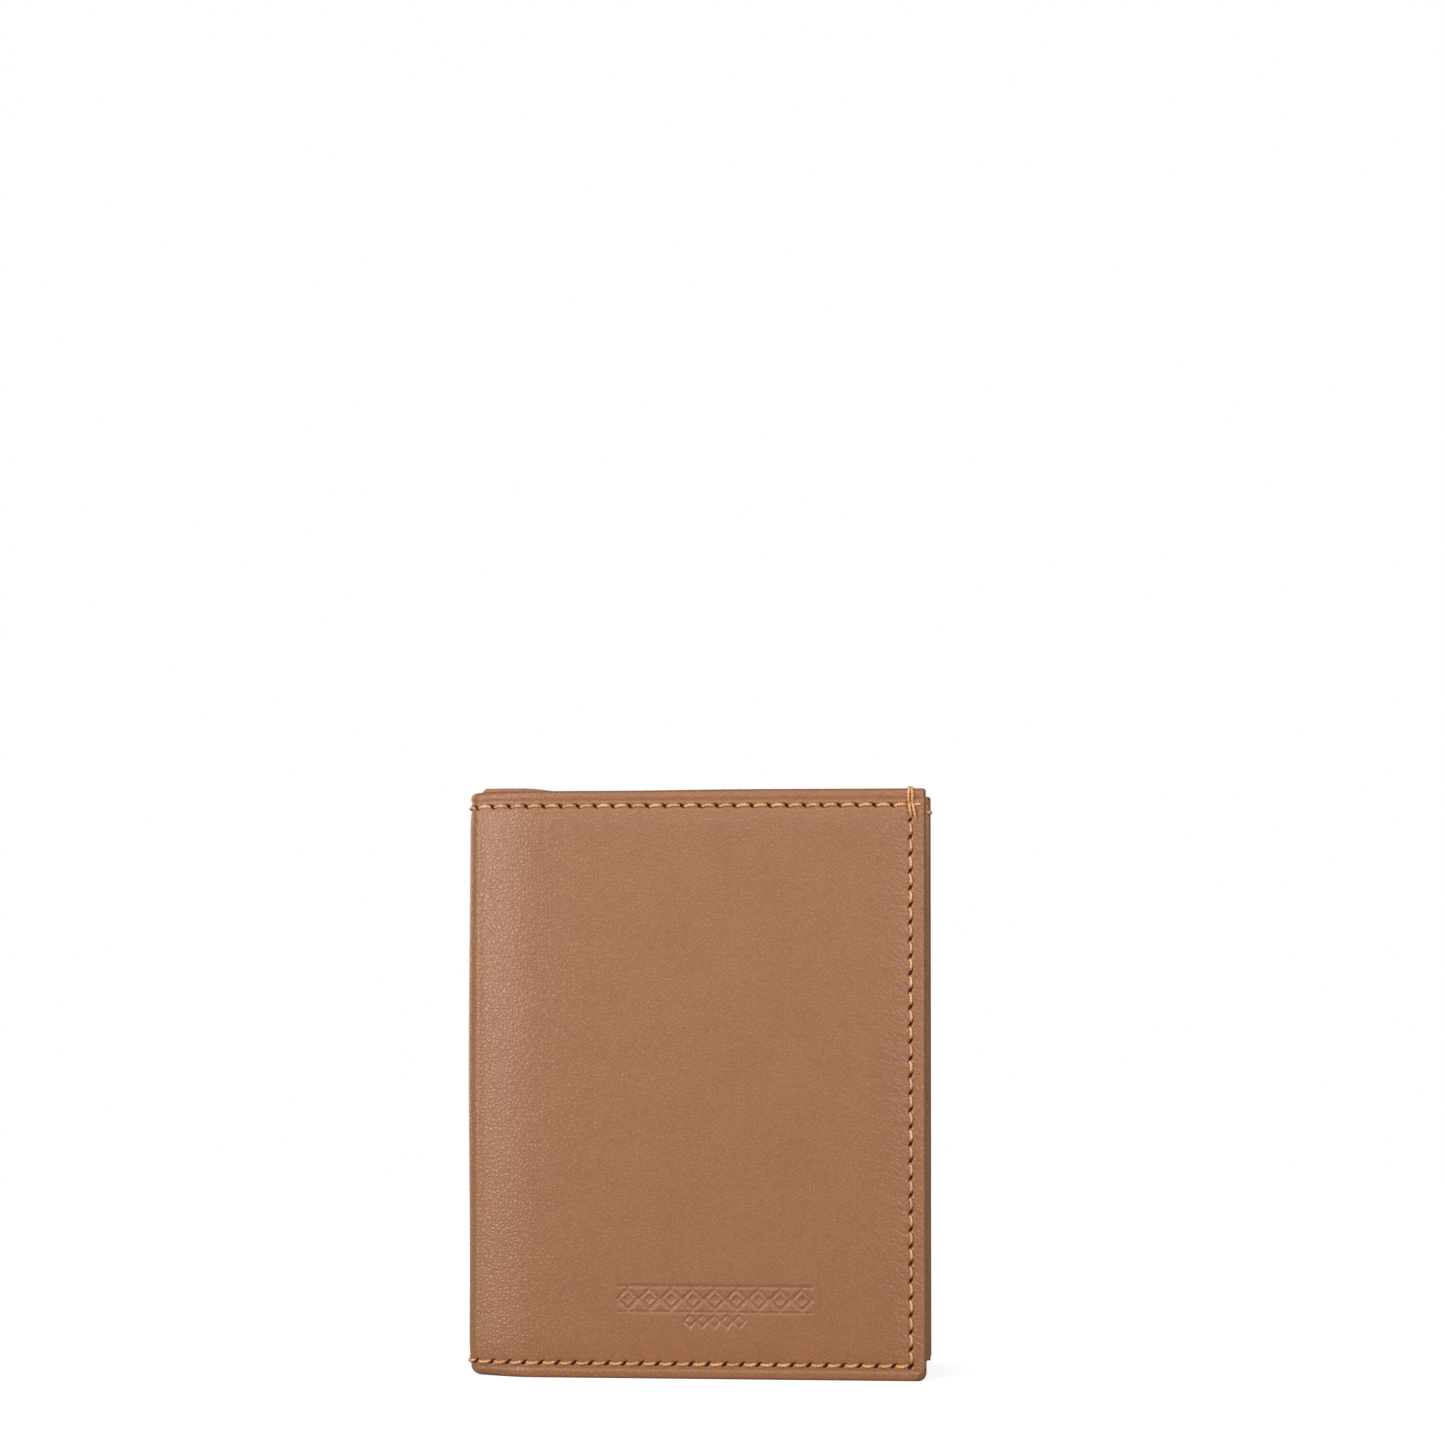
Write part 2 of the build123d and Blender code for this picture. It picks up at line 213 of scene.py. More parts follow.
# ---- Section of the shut wallet -------------------------------------------------------------
class Section:
    """Where each layer lies, by its run along the outer skin from the middle of the nose."""

    def __init__(self, body):
        self.body = body
        self.radius, self.flat, self.turn = body.nose_radius, body.nose_flat, body.turn_angle
        sine = math.sin(self.turn)
        rise = body.half_thickness - self.flat - self.radius * sine
        self.bulge = rise / (1 - sine)
        spare = self.bulge - self.radius
        self.centre = (self.radius + spare * math.cos(self.turn), self.flat - spare * sine)
        self.corner_run = self.flat + self.radius * self.turn
        self.bulge_run = self.corner_run + self.bulge * (math.pi / 2 - self.turn)
        self.crease_run = self.flat + self.radius * body.crease_angle
        self.crease = self.place(self.crease_run, 0.0)[:2]
        pivot = JOINTS["wallet_fold"]["pos_m"]
        self.shift = (pivot[0] - self.crease[0], pivot[1] - self.crease[1])

    def end(self, reach):
        """Run of the free edge of a half with that reach."""
        return self.bulge_run + reach - self.centre[0]

    def place(self, run, depth):
        """x, y and the outward normal's x, y at a run and a depth, on the side of +y."""
        run = np.asarray(run, float)
        facing = np.clip(
            np.where(
                run < self.corner_run,
                (run - self.flat) / self.radius,
                self.turn + (run - self.corner_run) / self.bulge,
            ),
            0.0, math.pi / 2,
        )
        on_corner = run < self.corner_run
        centre_x = np.where(on_corner, self.radius, self.centre[0])
        centre_y = np.where(on_corner, self.flat, self.centre[1])
        reach = np.where(on_corner, self.radius, self.bulge) - depth
        x = centre_x - reach * np.cos(facing)
        y = centre_y + reach * np.sin(facing)
        x = np.where(run < self.flat, depth, x) + np.maximum(run - self.bulge_run, 0.0)
        y = np.where(run < self.flat, run, y)
        return x, y, -np.cos(facing), np.sin(facing)

    def weight(self, run):
        """Share of a half's turn that the skin has taken at a run."""
        reach = self.body.bend_reach
        t = np.clip((np.asarray(run) - self.crease_run + reach) / (2 * reach), 0.0, 1.0)
        return t * t * (3 - 2 * t)

    def to_rest(self, x, y, side, weight=1.0):
        """Points of the shut wallet, given on the side of +y, at their ajar place."""
        turn = self.body.ajar_angle * weight
        along, across = x - self.crease[0], y - self.crease[1]
        x = self.crease[0] + along * np.cos(turn) - across * np.sin(turn)
        y = self.crease[1] + along * np.sin(turn) + across * np.cos(turn)
        return x + self.shift[0], side * y + self.shift[1]

    def point(self, run, height, depth, side):
        """Points in the frame at rest, as an array of rows."""
        run, height, depth = np.broadcast_arrays(run, height, depth)
        x, y, _, _ = self.place(run, depth)
        x, y = self.to_rest(x, y, side, self.weight(run))
        return np.stack([x, y, height], axis=-1)

    def directions(self, run, side):
        """Unit vectors along the skin and out of it, at rest."""
        step = 0.02 * MM
        before, after = (self.point(run + s, 0.0, 0.0, side) for s in (-step, step))
        along = (after - before) / (2 * step)
        out = self.point(run, 0.0, -step, side) - self.point(run, 0.0, 0.0, side)
        return (v / np.linalg.norm(v, axis=-1, keepdims=True) for v in (along, out))


def section():
    """Section from the scene's current sizes."""
    return Section(bpy.context.scene.wallet_body)


def reach_of(side):
    """Spine nose to the free edge of one half, shut."""
    body = bpy.context.scene.wallet_body
    return body.front_reach if side == FRONT else body.back_reach


def free_end(side):
    """Run of the free edge of one half."""
    return section().end(reach_of(side))


# ---- Mesh helpers ---------------------------------------------------------------------------
def make_object(name, points, faces, skin_map=None, sharp=()):
    """A smooth mesh object, with its skin coordinates in millimetres as a UV map."""
    mesh = bpy.data.meshes.new(name)
    mesh.from_pydata([tuple(p) for p in points], [], faces)
    mesh.shade_smooth()
    if skin_map is not None:
        layer = mesh.uv_layers.new(name="skin")
        corners = np.empty(len(mesh.loops), np.int32)
        mesh.loops.foreach_get("vertex_index", corners)
        layer.data.foreach_set("uv", np.asarray(skin_map, np.float32)[corners].ravel())
    if sharp:
        wanted = {frozenset(pair) for pair in sharp}
        for edge in mesh.edges:
            edge.use_edge_sharp = frozenset(edge.vertices) in wanted
    mesh.validate()
    piece = bpy.data.objects.new(name, mesh)
    bpy.context.scene.collection.objects.link(piece)
    return piece


def smoothstep(low, high, value):
    """Smooth rise from 0 at low to 1 at high."""
    t = np.clip((value - low) / (high - low), 0.0, 1.0)
    return t * t * (3 - 2 * t)


def spaced(stops, steps):
    """Coordinates that run through the stops, at about the step given for each stretch."""
    runs = [
        np.linspace(a, b, max(1, round((b - a) / step)), endpoint=False)
        for a, b, step in zip(stops, stops[1:], steps)
    ]
    return np.concatenate(runs + [np.array(stops[-1:])])


def grid_faces(columns, rows, first=0):
    """Quads of a grid whose points run up each column in turn."""
    i, j = np.meshgrid(np.arange(columns - 1), np.arange(rows - 1), indexing="ij")
    corner = (first + i * rows + j).ravel()
    return np.stack([corner, corner + rows, corner + rows + 1, corner + 1], axis=1).tolist()


def rounded(u, v, radius):
    """Distances from two edges, moved so that square rings round the corner become round ones."""
    a, b = np.maximum(radius - u, 0.0), np.maximum(radius - v, 0.0)
    ring, other = np.maximum(a, b), np.minimum(a, b)
    turn = np.where(ring > 0, other / np.maximum(ring, 1e-12), 0.0) * math.pi / 4
    near, far = ring * np.cos(turn), ring * np.sin(turn)
    both = (a > 0) & (b > 0)
    u = np.where(both, radius - np.where(a >= b, near, far), u)
    v = np.where(both, radius - np.where(a >= b, far, near), v)
    return u, v


# ---- Cover ----------------------------------------------------------------------------------
def nose_pull(run, height):
    """Depth that the spine's ends are pulled in by, with all their layers."""
    body = bpy.context.scene.wallet_body
    near = 1 - smoothstep(4 * MM, 17 * MM, run)
    pull = 0.0
    for radius, rise in ((body.nose_foot, height), (body.nose_head, body.height - height)):
        short = np.clip(radius - rise, 0.0, radius)
        pull = pull + NOSE_SHARE * (radius - np.sqrt(radius**2 - short**2))
    waist = 0.14 * MM * np.sin(math.pi * np.clip(height / body.height, 0, 1) * 2.4 + 0.5)
    return near * (pull + (waist - 0.2 * MM) * (1 - smoothstep(1 * MM, 9 * MM, run)))


def height_at(run, height):
    """Height of a point after the upper edge has dipped at the spine and sagged beside it."""
    body = bpy.context.scene.wallet_body
    near = 1 - smoothstep(2 * MM, 9 * MM, run)
    drop = body.nose_drop * near * smoothstep(0.75, 1.0, height / body.height)
    rolled = smoothstep(-3.2 * MM, 0.0, height - body.height)
    beside = smoothstep(0.0, 8 * MM, run) * (1 - smoothstep(34 * MM, 66 * MM, run))
    return height - drop - body.edge_sag * rolled * beside


def even(first, last, pitch):
    """First place, step and count of places at even steps near the pitch, up to the last."""
    steps = max(1, round((last - first) / pitch))
    return first, (last - first) / steps, steps + 1


def seam_rows(side):
    """Lower, upper and free row of the outer seam: whether upright, its line, and its stitches."""
    body, seams = bpy.context.scene.wallet_body, bpy.context.scene.wallet_seams
    end = free_end(side)
    margin, pitch = seams.margin, seams.pitch
    last = end - margin
    stop = body.height - (TACK_ROOM if side == FRONT else margin)
    return [
        (False, margin, *even(0.9 * pitch, last - 0.5 * pitch, pitch)),
        (False, body.height - seams.margin_top,
         *even(0.8 * pitch, last - 0.58 * pitch, 1.03 * pitch)),
        (True, last, *even(margin + pitch / 2, stop - pitch / 2, pitch)),
    ]


def seam_relief(run, height, end, side):
    """Depth of troughs, pressed creases and puckers along the three seams of a cover half."""
    body, seams = bpy.context.scene.wallet_body, bpy.context.scene.wallet_seams
    free, above, below = end - run, body.height - height, height
    nearest = np.minimum(np.minimum(above + seams.margin - seams.margin_top, below), free)
    inside = nearest - seams.margin
    depth = 0.0 * run
    ripples = (
        (below, seams.margin, 0.03), (above, seams.margin_top, 0.03), (free, seams.margin, 0.035),
    )
    for (upright, _, first, step, _), (edge, margin, ripple) in zip(seam_rows(side), ripples):
        off = edge - margin
        within = smoothstep(-0.2 * MM, 0.8 * MM, inside + 0.6 * MM)
        wave = np.cos(math.tau * ((height if upright else run) - first + step / 2) / step)
        trough = np.exp(-((off / (0.55 * MM)) ** 2))
        depth += trough * within * (0.2 + 0.1 * wave) * MM
        pucker = np.exp(-np.maximum(off, 0.0) / (2.2 * MM)) * (off > 0)
        depth += pucker * within * wave * ripple * MM
    for edge, place, cut in ((above, 2.35, 0.2), (below, 2.2, 0.16), (free, 0.9, 0.12)):
        off = edge - place * MM
        along = smoothstep(0.3 * MM, 1.2 * MM, nearest)
        depth += cut * MM * np.exp(-((off / (0.22 * MM)) ** 2)) * (0.25 + 0.75 * along)
        bead = np.exp(-(((edge - 0.62 * place * MM) / (0.4 * MM)) ** 2))
        depth -= 0.07 * MM * bead
    swell = 1 - np.exp(-((np.maximum(inside, 0.0) / (2.6 * MM)) ** 2))
    return depth - 0.22 * MM * swell


def handled(run, height):
    """Depth of the slow unevenness that hand-made leather goods have."""
    u, v = run / MM, height / MM
    slow = 0.5 * np.sin(u / 19.0 + 1.1) * np.sin(v / 27.0 + 0.4) + 0.3 * np.sin((u + v) / 14.0)
    fine = 0.12 * np.sin((u - 0.6 * v) / 4.1 + np.sin(v / 9.0)) * np.sin((u + 1.3 * v) / 11.0)
    return (slow + fine) * 0.06 * MM


def ornament_relief(run, height, end):
    """Depth of the blind-pressed ornament: a band of lozenges over a short band of small ones."""
    middle = end - 44.7 * MM
    depth = 0.0 * run

    def stroke(distance, half_width):
        return 1 - smoothstep(half_width - 0.1 * MM, half_width + 0.12 * MM, np.abs(distance))

    for count, pitch, half, level, tall, core in (
        (9, 4.62, 2.1, 16.9, 2.15, 0.5), (5, 2.62, 1.15, 12.3, 1.3, 0.0),
    ):
        for n in range(count):
            u = np.abs(run - middle - (n - (count - 1) / 2) * pitch * MM)
            v = np.abs(height - level * MM)
            spread_out = u / half + v / tall
            depth = np.maximum(depth, stroke((spread_out - MM) * 1.45, 0.28 * MM))
            if core:
                inner = (spread_out - core * MM) * 1.45
                depth = np.maximum(depth, 1 - smoothstep(-0.12 * MM, 0.14 * MM, inner))
    for level in (19.6, 14.2):
        band = stroke(height - level * MM, 0.16 * MM)
        depth = np.maximum(depth, band * (np.abs(run - middle) < 20.6 * MM))
    return 0.34 * MM * depth


def cover_relief(run, height, end, side):
    """Depth of a cover half's outer face under its nominal skin."""
    depth = seam_relief(run, height, end, side) + handled(run, height)
    depth *= smoothstep(0.0, 0.5 * MM, run)
    if side == FRONT:
        depth = depth + ornament_relief(run, height, end)
    depth = depth - 0.26 * MM * np.exp(-(((run / MM - 5.2) / 0.8) ** 2) / 2)
    free, above, below = end - run, bpy.context.scene.wallet_body.height - height, height
    for corner in (below, above):
        fold = (free + 0.75 * corner) / 2.3 - MM
        depth = depth + 0.11 * MM * (1 - smoothstep(-0.04 * MM, 0.1 * MM, fold))
    return depth


def build_cover(side):
    """One half of the cover with its share of the spine, as a closed leather solid."""
    body, layers = bpy.context.scene.wallet_body, bpy.context.scene.wallet_layers
    shape = section()
    end = free_end(side)
    rim, inner_rim, gauge = 0.78 * MM, 0.4 * MM, layers.cover
    tall = body.height
    fine = 0.26 if side == FRONT else 0.5
    rim_steps = rim * (1 - np.cos(np.linspace(0, math.pi / 2, 7)))
    runs = spaced(
        [0, 12 * MM, end - 66 * MM, end - 21 * MM, end - 6 * MM, end - rim],
        [0.42 * MM, 0.52 * MM, fine * MM, 0.5 * MM, 0.3 * MM],
    )
    runs = np.concatenate([runs[:-1], end - rim_steps[::-1]])
    rows = spaced(
        [rim, 6 * MM, 9 * MM, 20 * MM, tall - 6 * MM, tall - rim],
        [0.3 * MM, 0.5 * MM, fine * MM, 0.52 * MM, 0.3 * MM],
    )
    rows = np.concatenate([rim_steps, rows[1:-1], tall - rim_steps[::-1]])

    u, v = np.meshgrid(runs, rows, indexing="ij")
    edge = np.minimum(np.minimum(end - u, v), tall - v)
    round_off = rim - np.sqrt(rim**2 - np.clip(rim - edge, 0.0, rim) ** 2)
    low = v < tall / 2
    radius = np.where(low, body.corner_low, body.corner_high)
    free, near = rounded(end - u, np.where(low, v, tall - v), radius)
    u_round, v_round = end - free, np.where(low, near, tall - near)
    depth = round_off + cover_relief(u, v, end, side) * smoothstep(0.0, 0.35 * MM, edge)
    depth = depth + nose_pull(u_round, v_round)
    skin = shape.point(u_round, height_at(u_round, v_round), depth, side)
    columns, high = u.shape
    points = [skin.reshape(-1, 3)]
    unrolled = [np.stack([u_round, v_round], -1).reshape(-1, 2)]
    faces = grid_faces(columns, high)

    # The rim: rings that go from the outline's edge round to the inner face.
    bottom = [i * high for i in range(columns)]
    free_side = [(columns - 1) * high + j for j in range(1, high - 1)]
    top = [i * high + high - 1 for i in range(columns - 1, -1, -1)]
    loop = np.array(bottom + free_side + top)
    outline = unrolled[0][loop]
    inward = np.zeros_like(outline)
    for n, (run, height) in enumerate(outline):
        if height < tall / 2:
            corner = np.array([end - body.corner_low, body.corner_low])
        else:
            corner = np.array([end - body.corner_high, tall - body.corner_high])
        to_corner = corner - outline[n]
        beyond_side = run > corner[0]
        beyond_end = height < corner[1] if height < tall / 2 else height > corner[1]
        if beyond_side and beyond_end:
            inward[n] = to_corner / np.linalg.norm(to_corner)
        elif beyond_side:
            inward[n] = (-1, 0)
        else:
            inward[n] = (0, 1 if height < tall / 2 else -1)
    turns = np.linspace(0, math.pi / 2, 4)
    profile = [
        (inner_rim * (1 - math.cos(t)), gauge - inner_rim * (1 - math.sin(t))) for t in turns
    ]
    profile.append((1.5 * MM, gauge))
    previous, travelled, last = loop, 0.0, (0.0, rim)
    count = len(points[0])
    pull = nose_pull(outline[:, 0], outline[:, 1])
    for inset, deep in profile:
        place = outline + inward * inset
        travelled += math.hypot(inset - last[0], deep - last[1])
        last = (inset, deep)
        lifted = height_at(place[:, 0], place[:, 1])
        points.append(shape.point(place[:, 0], lifted, deep + pull, side))
        unrolled.append(outline - inward * travelled)
        ring = np.arange(count, count + len(loop))
        for n in range(len(loop) - 1):
            faces.append([previous[n + 1], previous[n], ring[n], ring[n + 1]])
        count += len(loop)
        previous = ring
    rings = len(profile)

    # The inner face: a few rows between the lower and the upper ring, then one flat end face.
    inner_columns = int(np.searchsorted(runs, end - body.corner_low - 0.2 * MM))
    inner_rows = np.array([3.2, 6.0, 12.0, 60.0, 118.0, 122.0]) * MM * (tall / (125 * MM))
    low_ring, high_ring = previous[:inner_columns], previous[::-1][:inner_columns]
    grid_rows = [low_ring]
    for height in inner_rows:
        across = runs[:inner_columns]
        deep = gauge + nose_pull(across, height)
        points.append(shape.point(across, height_at(across, height), deep, side))
        unrolled.append(np.stack([across, np.full_like(across, height)], -1))
        grid_rows.append(np.arange(count, count + inner_columns))
        count += inner_columns
    grid_rows.append(high_ring)
    for lower, upper in zip(grid_rows, grid_rows[1:]):
        for n in range(inner_columns - 1):
            faces.append([lower[n], upper[n], upper[n + 1], lower[n + 1]])
    corner_to_corner = list(previous[inner_columns - 1:len(previous) - inner_columns + 1])
    faces.append(corner_to_corner + [row[-1] for row in grid_rows[-2:0:-1]])

    # The cut at the middle of the nose, where the two cover halves meet.
    ring_starts = [len(points[0]) + k * len(loop) for k in range(rings)]
    ring_ends = [start + len(loop) - 1 for start in ring_starts]
    cut = list(range(high)) + ring_ends
    cut += [row[0] for row in grid_rows[-2:0:-1]] + ring_starts[::-1]
    faces.append(cut)
    sharp = list(zip(cut, cut[1:] + cut[:1]))

    points, unrolled = np.concatenate(points), np.concatenate(unrolled)
    unrolled[:, 0] *= side
    if side == BACK:
        faces = [list(face)[::-1] for face in faces]
    name = f"cover_leather_{HALVES[side]}"
    return make_object(name, points, [list(map(int, f)) for f in faces], unrolled / MM, sharp)


def bend(piece, side):
    """Let a piece follow its half beyond the crease and the spine before it."""
    shape = section()
    reach = shape.body.bend_reach
    on_spine, on_half = (
        shape.point(shape.crease_run + step, 0.0, 0.0, side) for step in (-reach, reach)
    )
    half = f"{HALVES[side]}_half"
    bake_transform(piece, half, "spine", start=tuple(on_half), end=tuple(on_spine))


# ---- Thin leaves ----------------------------------------------------------------------------
def leaf_solid(name, runs, rows, outer, inner, swell):
    """Closed thin solid between two faces given as functions of a run and a row."""
    u, v = np.meshgrid(runs, rows, indexing="ij")
    columns, high = u.shape
    a, b = outer(u, v), inner(u, v)
    bottom = [i * high for i in range(columns)]
    free_side = [(columns - 1) * high + j for j in range(1, high)]
    top = [i * high + high - 1 for i in range(columns - 2, -1, -1)]
    near_side = list(range(high - 2, 0, -1))
    loop = np.array(bottom + free_side + top + near_side)
    i, j = loop // high, loop % high
    away = a[i, j] - a[np.clip(i, 1, columns - 2), np.clip(j, 1, high - 2)]
    away /= np.maximum(np.linalg.norm(away, axis=-1, keepdims=True), 1e-9)
    middle = (a[i, j] + b[i, j]) / 2 + away * swell
    total, around = columns * high, len(loop)
    faces = grid_faces(columns, high)
    faces += [face[::-1] for face in grid_faces(columns, high, total + around)]
    for n in range(around):
        m = (n + 1) % around
        faces.append([loop[m], loop[n], total + n, total + m])
        faces.append([total + m, total + n, total + around + loop[n], total + around + loop[m]])
    points = np.concatenate([a.reshape(-1, 3), middle, b.reshape(-1, 3)])
    flat = np.stack([u, a[..., 2]], -1).reshape(-1, 2) / MM
    unrolled = np.concatenate([flat, flat[loop], flat])
    return outward(make_object(name, points, [list(map(int, f)) for f in faces], unrolled))


def outward(piece):
    """Turn the faces of a closed piece outwards."""
    mesh = piece.data
    mesh.calc_loop_triangles()
    where = np.empty(len(mesh.vertices) * 3)
    mesh.vertices.foreach_get("co", where)
    corners = np.empty(len(mesh.loop_triangles) * 3, np.int32)
    mesh.loop_triangles.foreach_get("vertices", corners)
    a, b, c = where.reshape(-1, 3)[corners.reshape(-1, 3)].transpose(1, 0, 2)
    volume = np.einsum("ij,ij->", a, np.cross(b, c))
    if volume < 0:
        mesh.flip_normals()
    return piece


def layer_depths():
    """Depth of each layer's outer face under the skin."""
    layers = bpy.context.scene.wallet_layers
    lining = layers.cover
    divider = lining + layers.lining + layers.note_gap
    panel = divider + layers.divider
    return {"lining": lining, "divider": divider, "panel": panel, "pocket": panel + layers.panel}


def build_lining(side):
    """Cloth on the inner face of one cover half."""
    body, layers = bpy.context.scene.wallet_body, bpy.context.scene.wallet_layers
    shape = section()
    end = free_end(side) - layers.inset
    runs = spaced([0, 14 * MM, end], [0.7 * MM, 4 * MM])
    rows = spaced([layers.inset, 8 * MM, body.height - 8 * MM, body.height - layers.inset],
                  [0.9 * MM, 6 * MM, 0.9 * MM])

    def face(deep):
        return lambda u, v: shape.point(u, height_at(u, lifted(u, v)), deep + nose_pull(u, v), side)

    def lifted(u, v):
        foot = (body.nose_foot - layers.inset) * (1 - smoothstep(4 * MM, 14 * MM, u))
        return v + foot * (1 - smoothstep(0, 8 * MM, v))

    outer, inner = face(layers.cover), face(layers.cover + layers.lining)
    return leaf_solid(f"lining_cloth_{HALVES[side]}", runs, rows, outer, inner, 0.05 * MM)


def build_divider(side):
    """Inner wall of the note compartment, high beside the fold, with its creased upper edge."""
    body, layers = bpy.context.scene.wallet_body, bpy.context.scene.wallet_layers
    shape = section()
    against = layers.cover + layers.lining
    end = free_end(side) - layers.inset
    runs = spaced([0, 20 * MM, end], [0.55 * MM, 2.0 * MM])
    rows = spaced([0.0, 0.06, 0.92, 0.965, 1.0], [0.03, 0.08, 0.008, 0.004])

    def level(run, deep):
        """Depth that keeps a face level once the bulge has carried it far enough out."""
        _, y, _, out = shape.place(run, deep)
        level_y = body.half_thickness - deep - layers.note_gap
        over = np.maximum(y - level_y, 0.0)
        return deep + over / np.maximum(out, 0.2)

    def height(run, row):
        high = 0.35 * MM + layers.inset
        along = shape.place(run, 0.0)[0]
        top = body.height - layers.inset + high * (1 - smoothstep(11.0 * MM, 24.0 * MM, along))
        lift = (body.nose_foot - layers.inset) * (1 - smoothstep(4 * MM, 14 * MM, run))
        foot = layers.inset + lift
        top = top - 1.3 * MM * (1 - smoothstep(4.6 * MM, 6.5 * MM, run))
        return foot + (top - foot) * row

    def face(deep, pressed):
        def points(run, row):
            z = height(run, row)
            to_edge = height(run, np.ones_like(row)) - z
            crease = 0.07 * MM * np.exp(-(((to_edge - 1.9 * MM) / (0.3 * MM)) ** 2)) * pressed
            low_pull = nose_pull(run, np.minimum(z, body.height * 0.6))
            return shape.point(run, z, level(run, deep) + low_pull + crease, side)
        return points

    outer, inner = face(against, 1), face(against + layers.divider, -1)
    name = f"note_divider_leather_{HALVES[side]}"
    return leaf_solid(name, runs, rows, outer, inner, 0.12 * MM)


def flat_leaf(name, side, left, right, low, high, depth, gauge, relief):
    """Flat leaf of one half. Its inner face carries the relief, a depth into the leaf."""
    body = bpy.context.scene.wallet_body
    shape = section()
    columns = spaced([left, left + 3 * MM, right - 4 * MM, right], [0.4 * MM, 1.6 * MM, 0.4 * MM])
    rows = spaced([low, low + 4.5 * MM, high - 3 * MM, high], [0.5 * MM, 1.1 * MM, 0.22 * MM])

    def face(inner):
        def points(x, z):
            free, above = rounded(right - x, high - z, 1.2 * MM)
            near, above_near = rounded(x - left, high - z, 0.6 * MM)
            x_new = np.where(x > (left + right) / 2, right - free, left + near)
            z_new = high - np.where(x > (left + right) / 2, above, above_near)
            edge = np.minimum(np.minimum(right - x, x - left), high - z)
            soft = 0.35 * gauge * (1 - smoothstep(0.0, 0.3 * MM, edge))
            deep = depth + soft if not inner else depth + gauge - soft - relief(x, z)
            deep = np.broadcast_to(deep, x_new.shape)
            y = body.half_thickness - deep
            x_rest, y_rest = shape.to_rest(x_new, y, side)
            return np.stack([x_rest, y_rest, z_new], axis=-1)
        return points

    return leaf_solid(name, columns, rows, face(True), face(False), 0.06 * MM)


def pocket_edges(side):
    """Nearest and farthest x of the pockets of one half, in the shut wallet."""
    return POCKET_START, reach_of(side) - bpy.context.scene.wallet_layers.inset


def pocket_tops(side):
    """Heights of the pockets' openings on one half, lowest first."""
    pockets = bpy.context.scene.wallet_pockets
    count = pockets.front_count if side == FRONT else pockets.back_count
    return [pockets.lowest_top + pockets.step * n for n in range(count)]


def groove(distance, width, cut):
    """Depth of a pressed line at a distance."""
    return cut * np.exp(-((distance / width) ** 2))


def pocket_relief(side, low, high):
    """Relief of a pocket leaf: seam troughs, a creased mouth, and a soft belly where it shows."""
    seams, pockets = bpy.context.scene.wallet_seams, bpy.context.scene.wallet_pockets
    left, right = pocket_edges(side)
    reach_seam = right + bpy.context.scene.wallet_layers.inset - seams.margin

    def relief(x, z):
        depth = groove(high - z - pockets.crease, 0.2 * MM, 0.1 * MM)
        for line in (left + seams.inner_margin, reach_seam):
            wave = 1 + 0.4 * np.cos(2 * math.pi * z / seams.pitch)
            depth = depth + groove(x - line, 0.45 * MM, 0.09 * MM) * wave
        depth = depth + groove(z - seams.margin, 0.45 * MM, 0.09 * MM)
        across = np.clip((x - left) / (right - left), 0, 1)
        shows = smoothstep(low, low + 2.5 * MM, z)
        mouth = np.exp(-(((high - z) / (5 * MM)) ** 2)) * np.sin(math.pi * across) ** 0.7
        return depth * shows - 0.12 * MM * mouth * shows
    return relief


def build_leaves(side):
    """Backing panel and stepped card pockets of one half."""
    scene = bpy.context.scene
    body, layers = scene.wallet_body, scene.wallet_layers
    left, right = pocket_edges(side)
    depths = layer_depths()
    tops = pocket_tops(side)
    leaves = {}
    top = body.height - LEAF_DROP
    relief = pocket_relief(side, tops[-1] if side == FRONT else top, top)
    leaves[f"backing_panel_{HALVES[side]}"] = flat_leaf(
        f"backing_leather_{HALVES[side]}", side, left, right, layers.inset, top,
        depths["panel"], layers.panel, relief,
    )
    for n, top in enumerate(tops, start=1):
        depth = depths["pocket"] + layers.pocket * (len(tops) - n)
        relief = pocket_relief(side, tops[n - 2] if n > 1 else 0.0, top)
        leaves[f"card_pocket_{HALVES[side]}_{n}"] = flat_leaf(
            f"card_pocket_leather_{HALVES[side]}_{n}", side, left, right, layers.inset, top,
            depth, layers.pocket, relief,
        )
    return leaves


def window_place():
    """Outline of the window frame: its lowest and highest x and z, shut."""
    left, right = pocket_edges(BACK)
    high = bpy.context.scene.wallet_body.height - LEAF_DROP
    return left, right, pocket_tops(BACK)[-1] + WINDOW_GAP, high


def rounded_outline(left, right, low, high, radius, arcs=10, straight=24):
    """Points round a rectangle with round corners."""
    corners = ((right, low, -90), (right, high, 0), (left, high, 90), (left, low, 180))
    bends, outline = [], []
    for x, z, start in corners:
        cx = x - radius if x == right else x + radius
        cz = z - radius if z == high else z + radius
        for step in range(arcs + 1):
            turn = math.radians(start + 90 * step / arcs)
            bends.append((cx + radius * math.cos(turn), cz + radius * math.sin(turn)))
    for n, point in enumerate(bends):
        outline.append(point)
        if n % (arcs + 1) == arcs:
            after = bends[(n + 1) % len(bends)]
            for step in range(1, straight):
                share = step / straight
                outline.append(tuple(a + (b - a) * share for a, b in zip(point, after)))
    return np.array(outline)


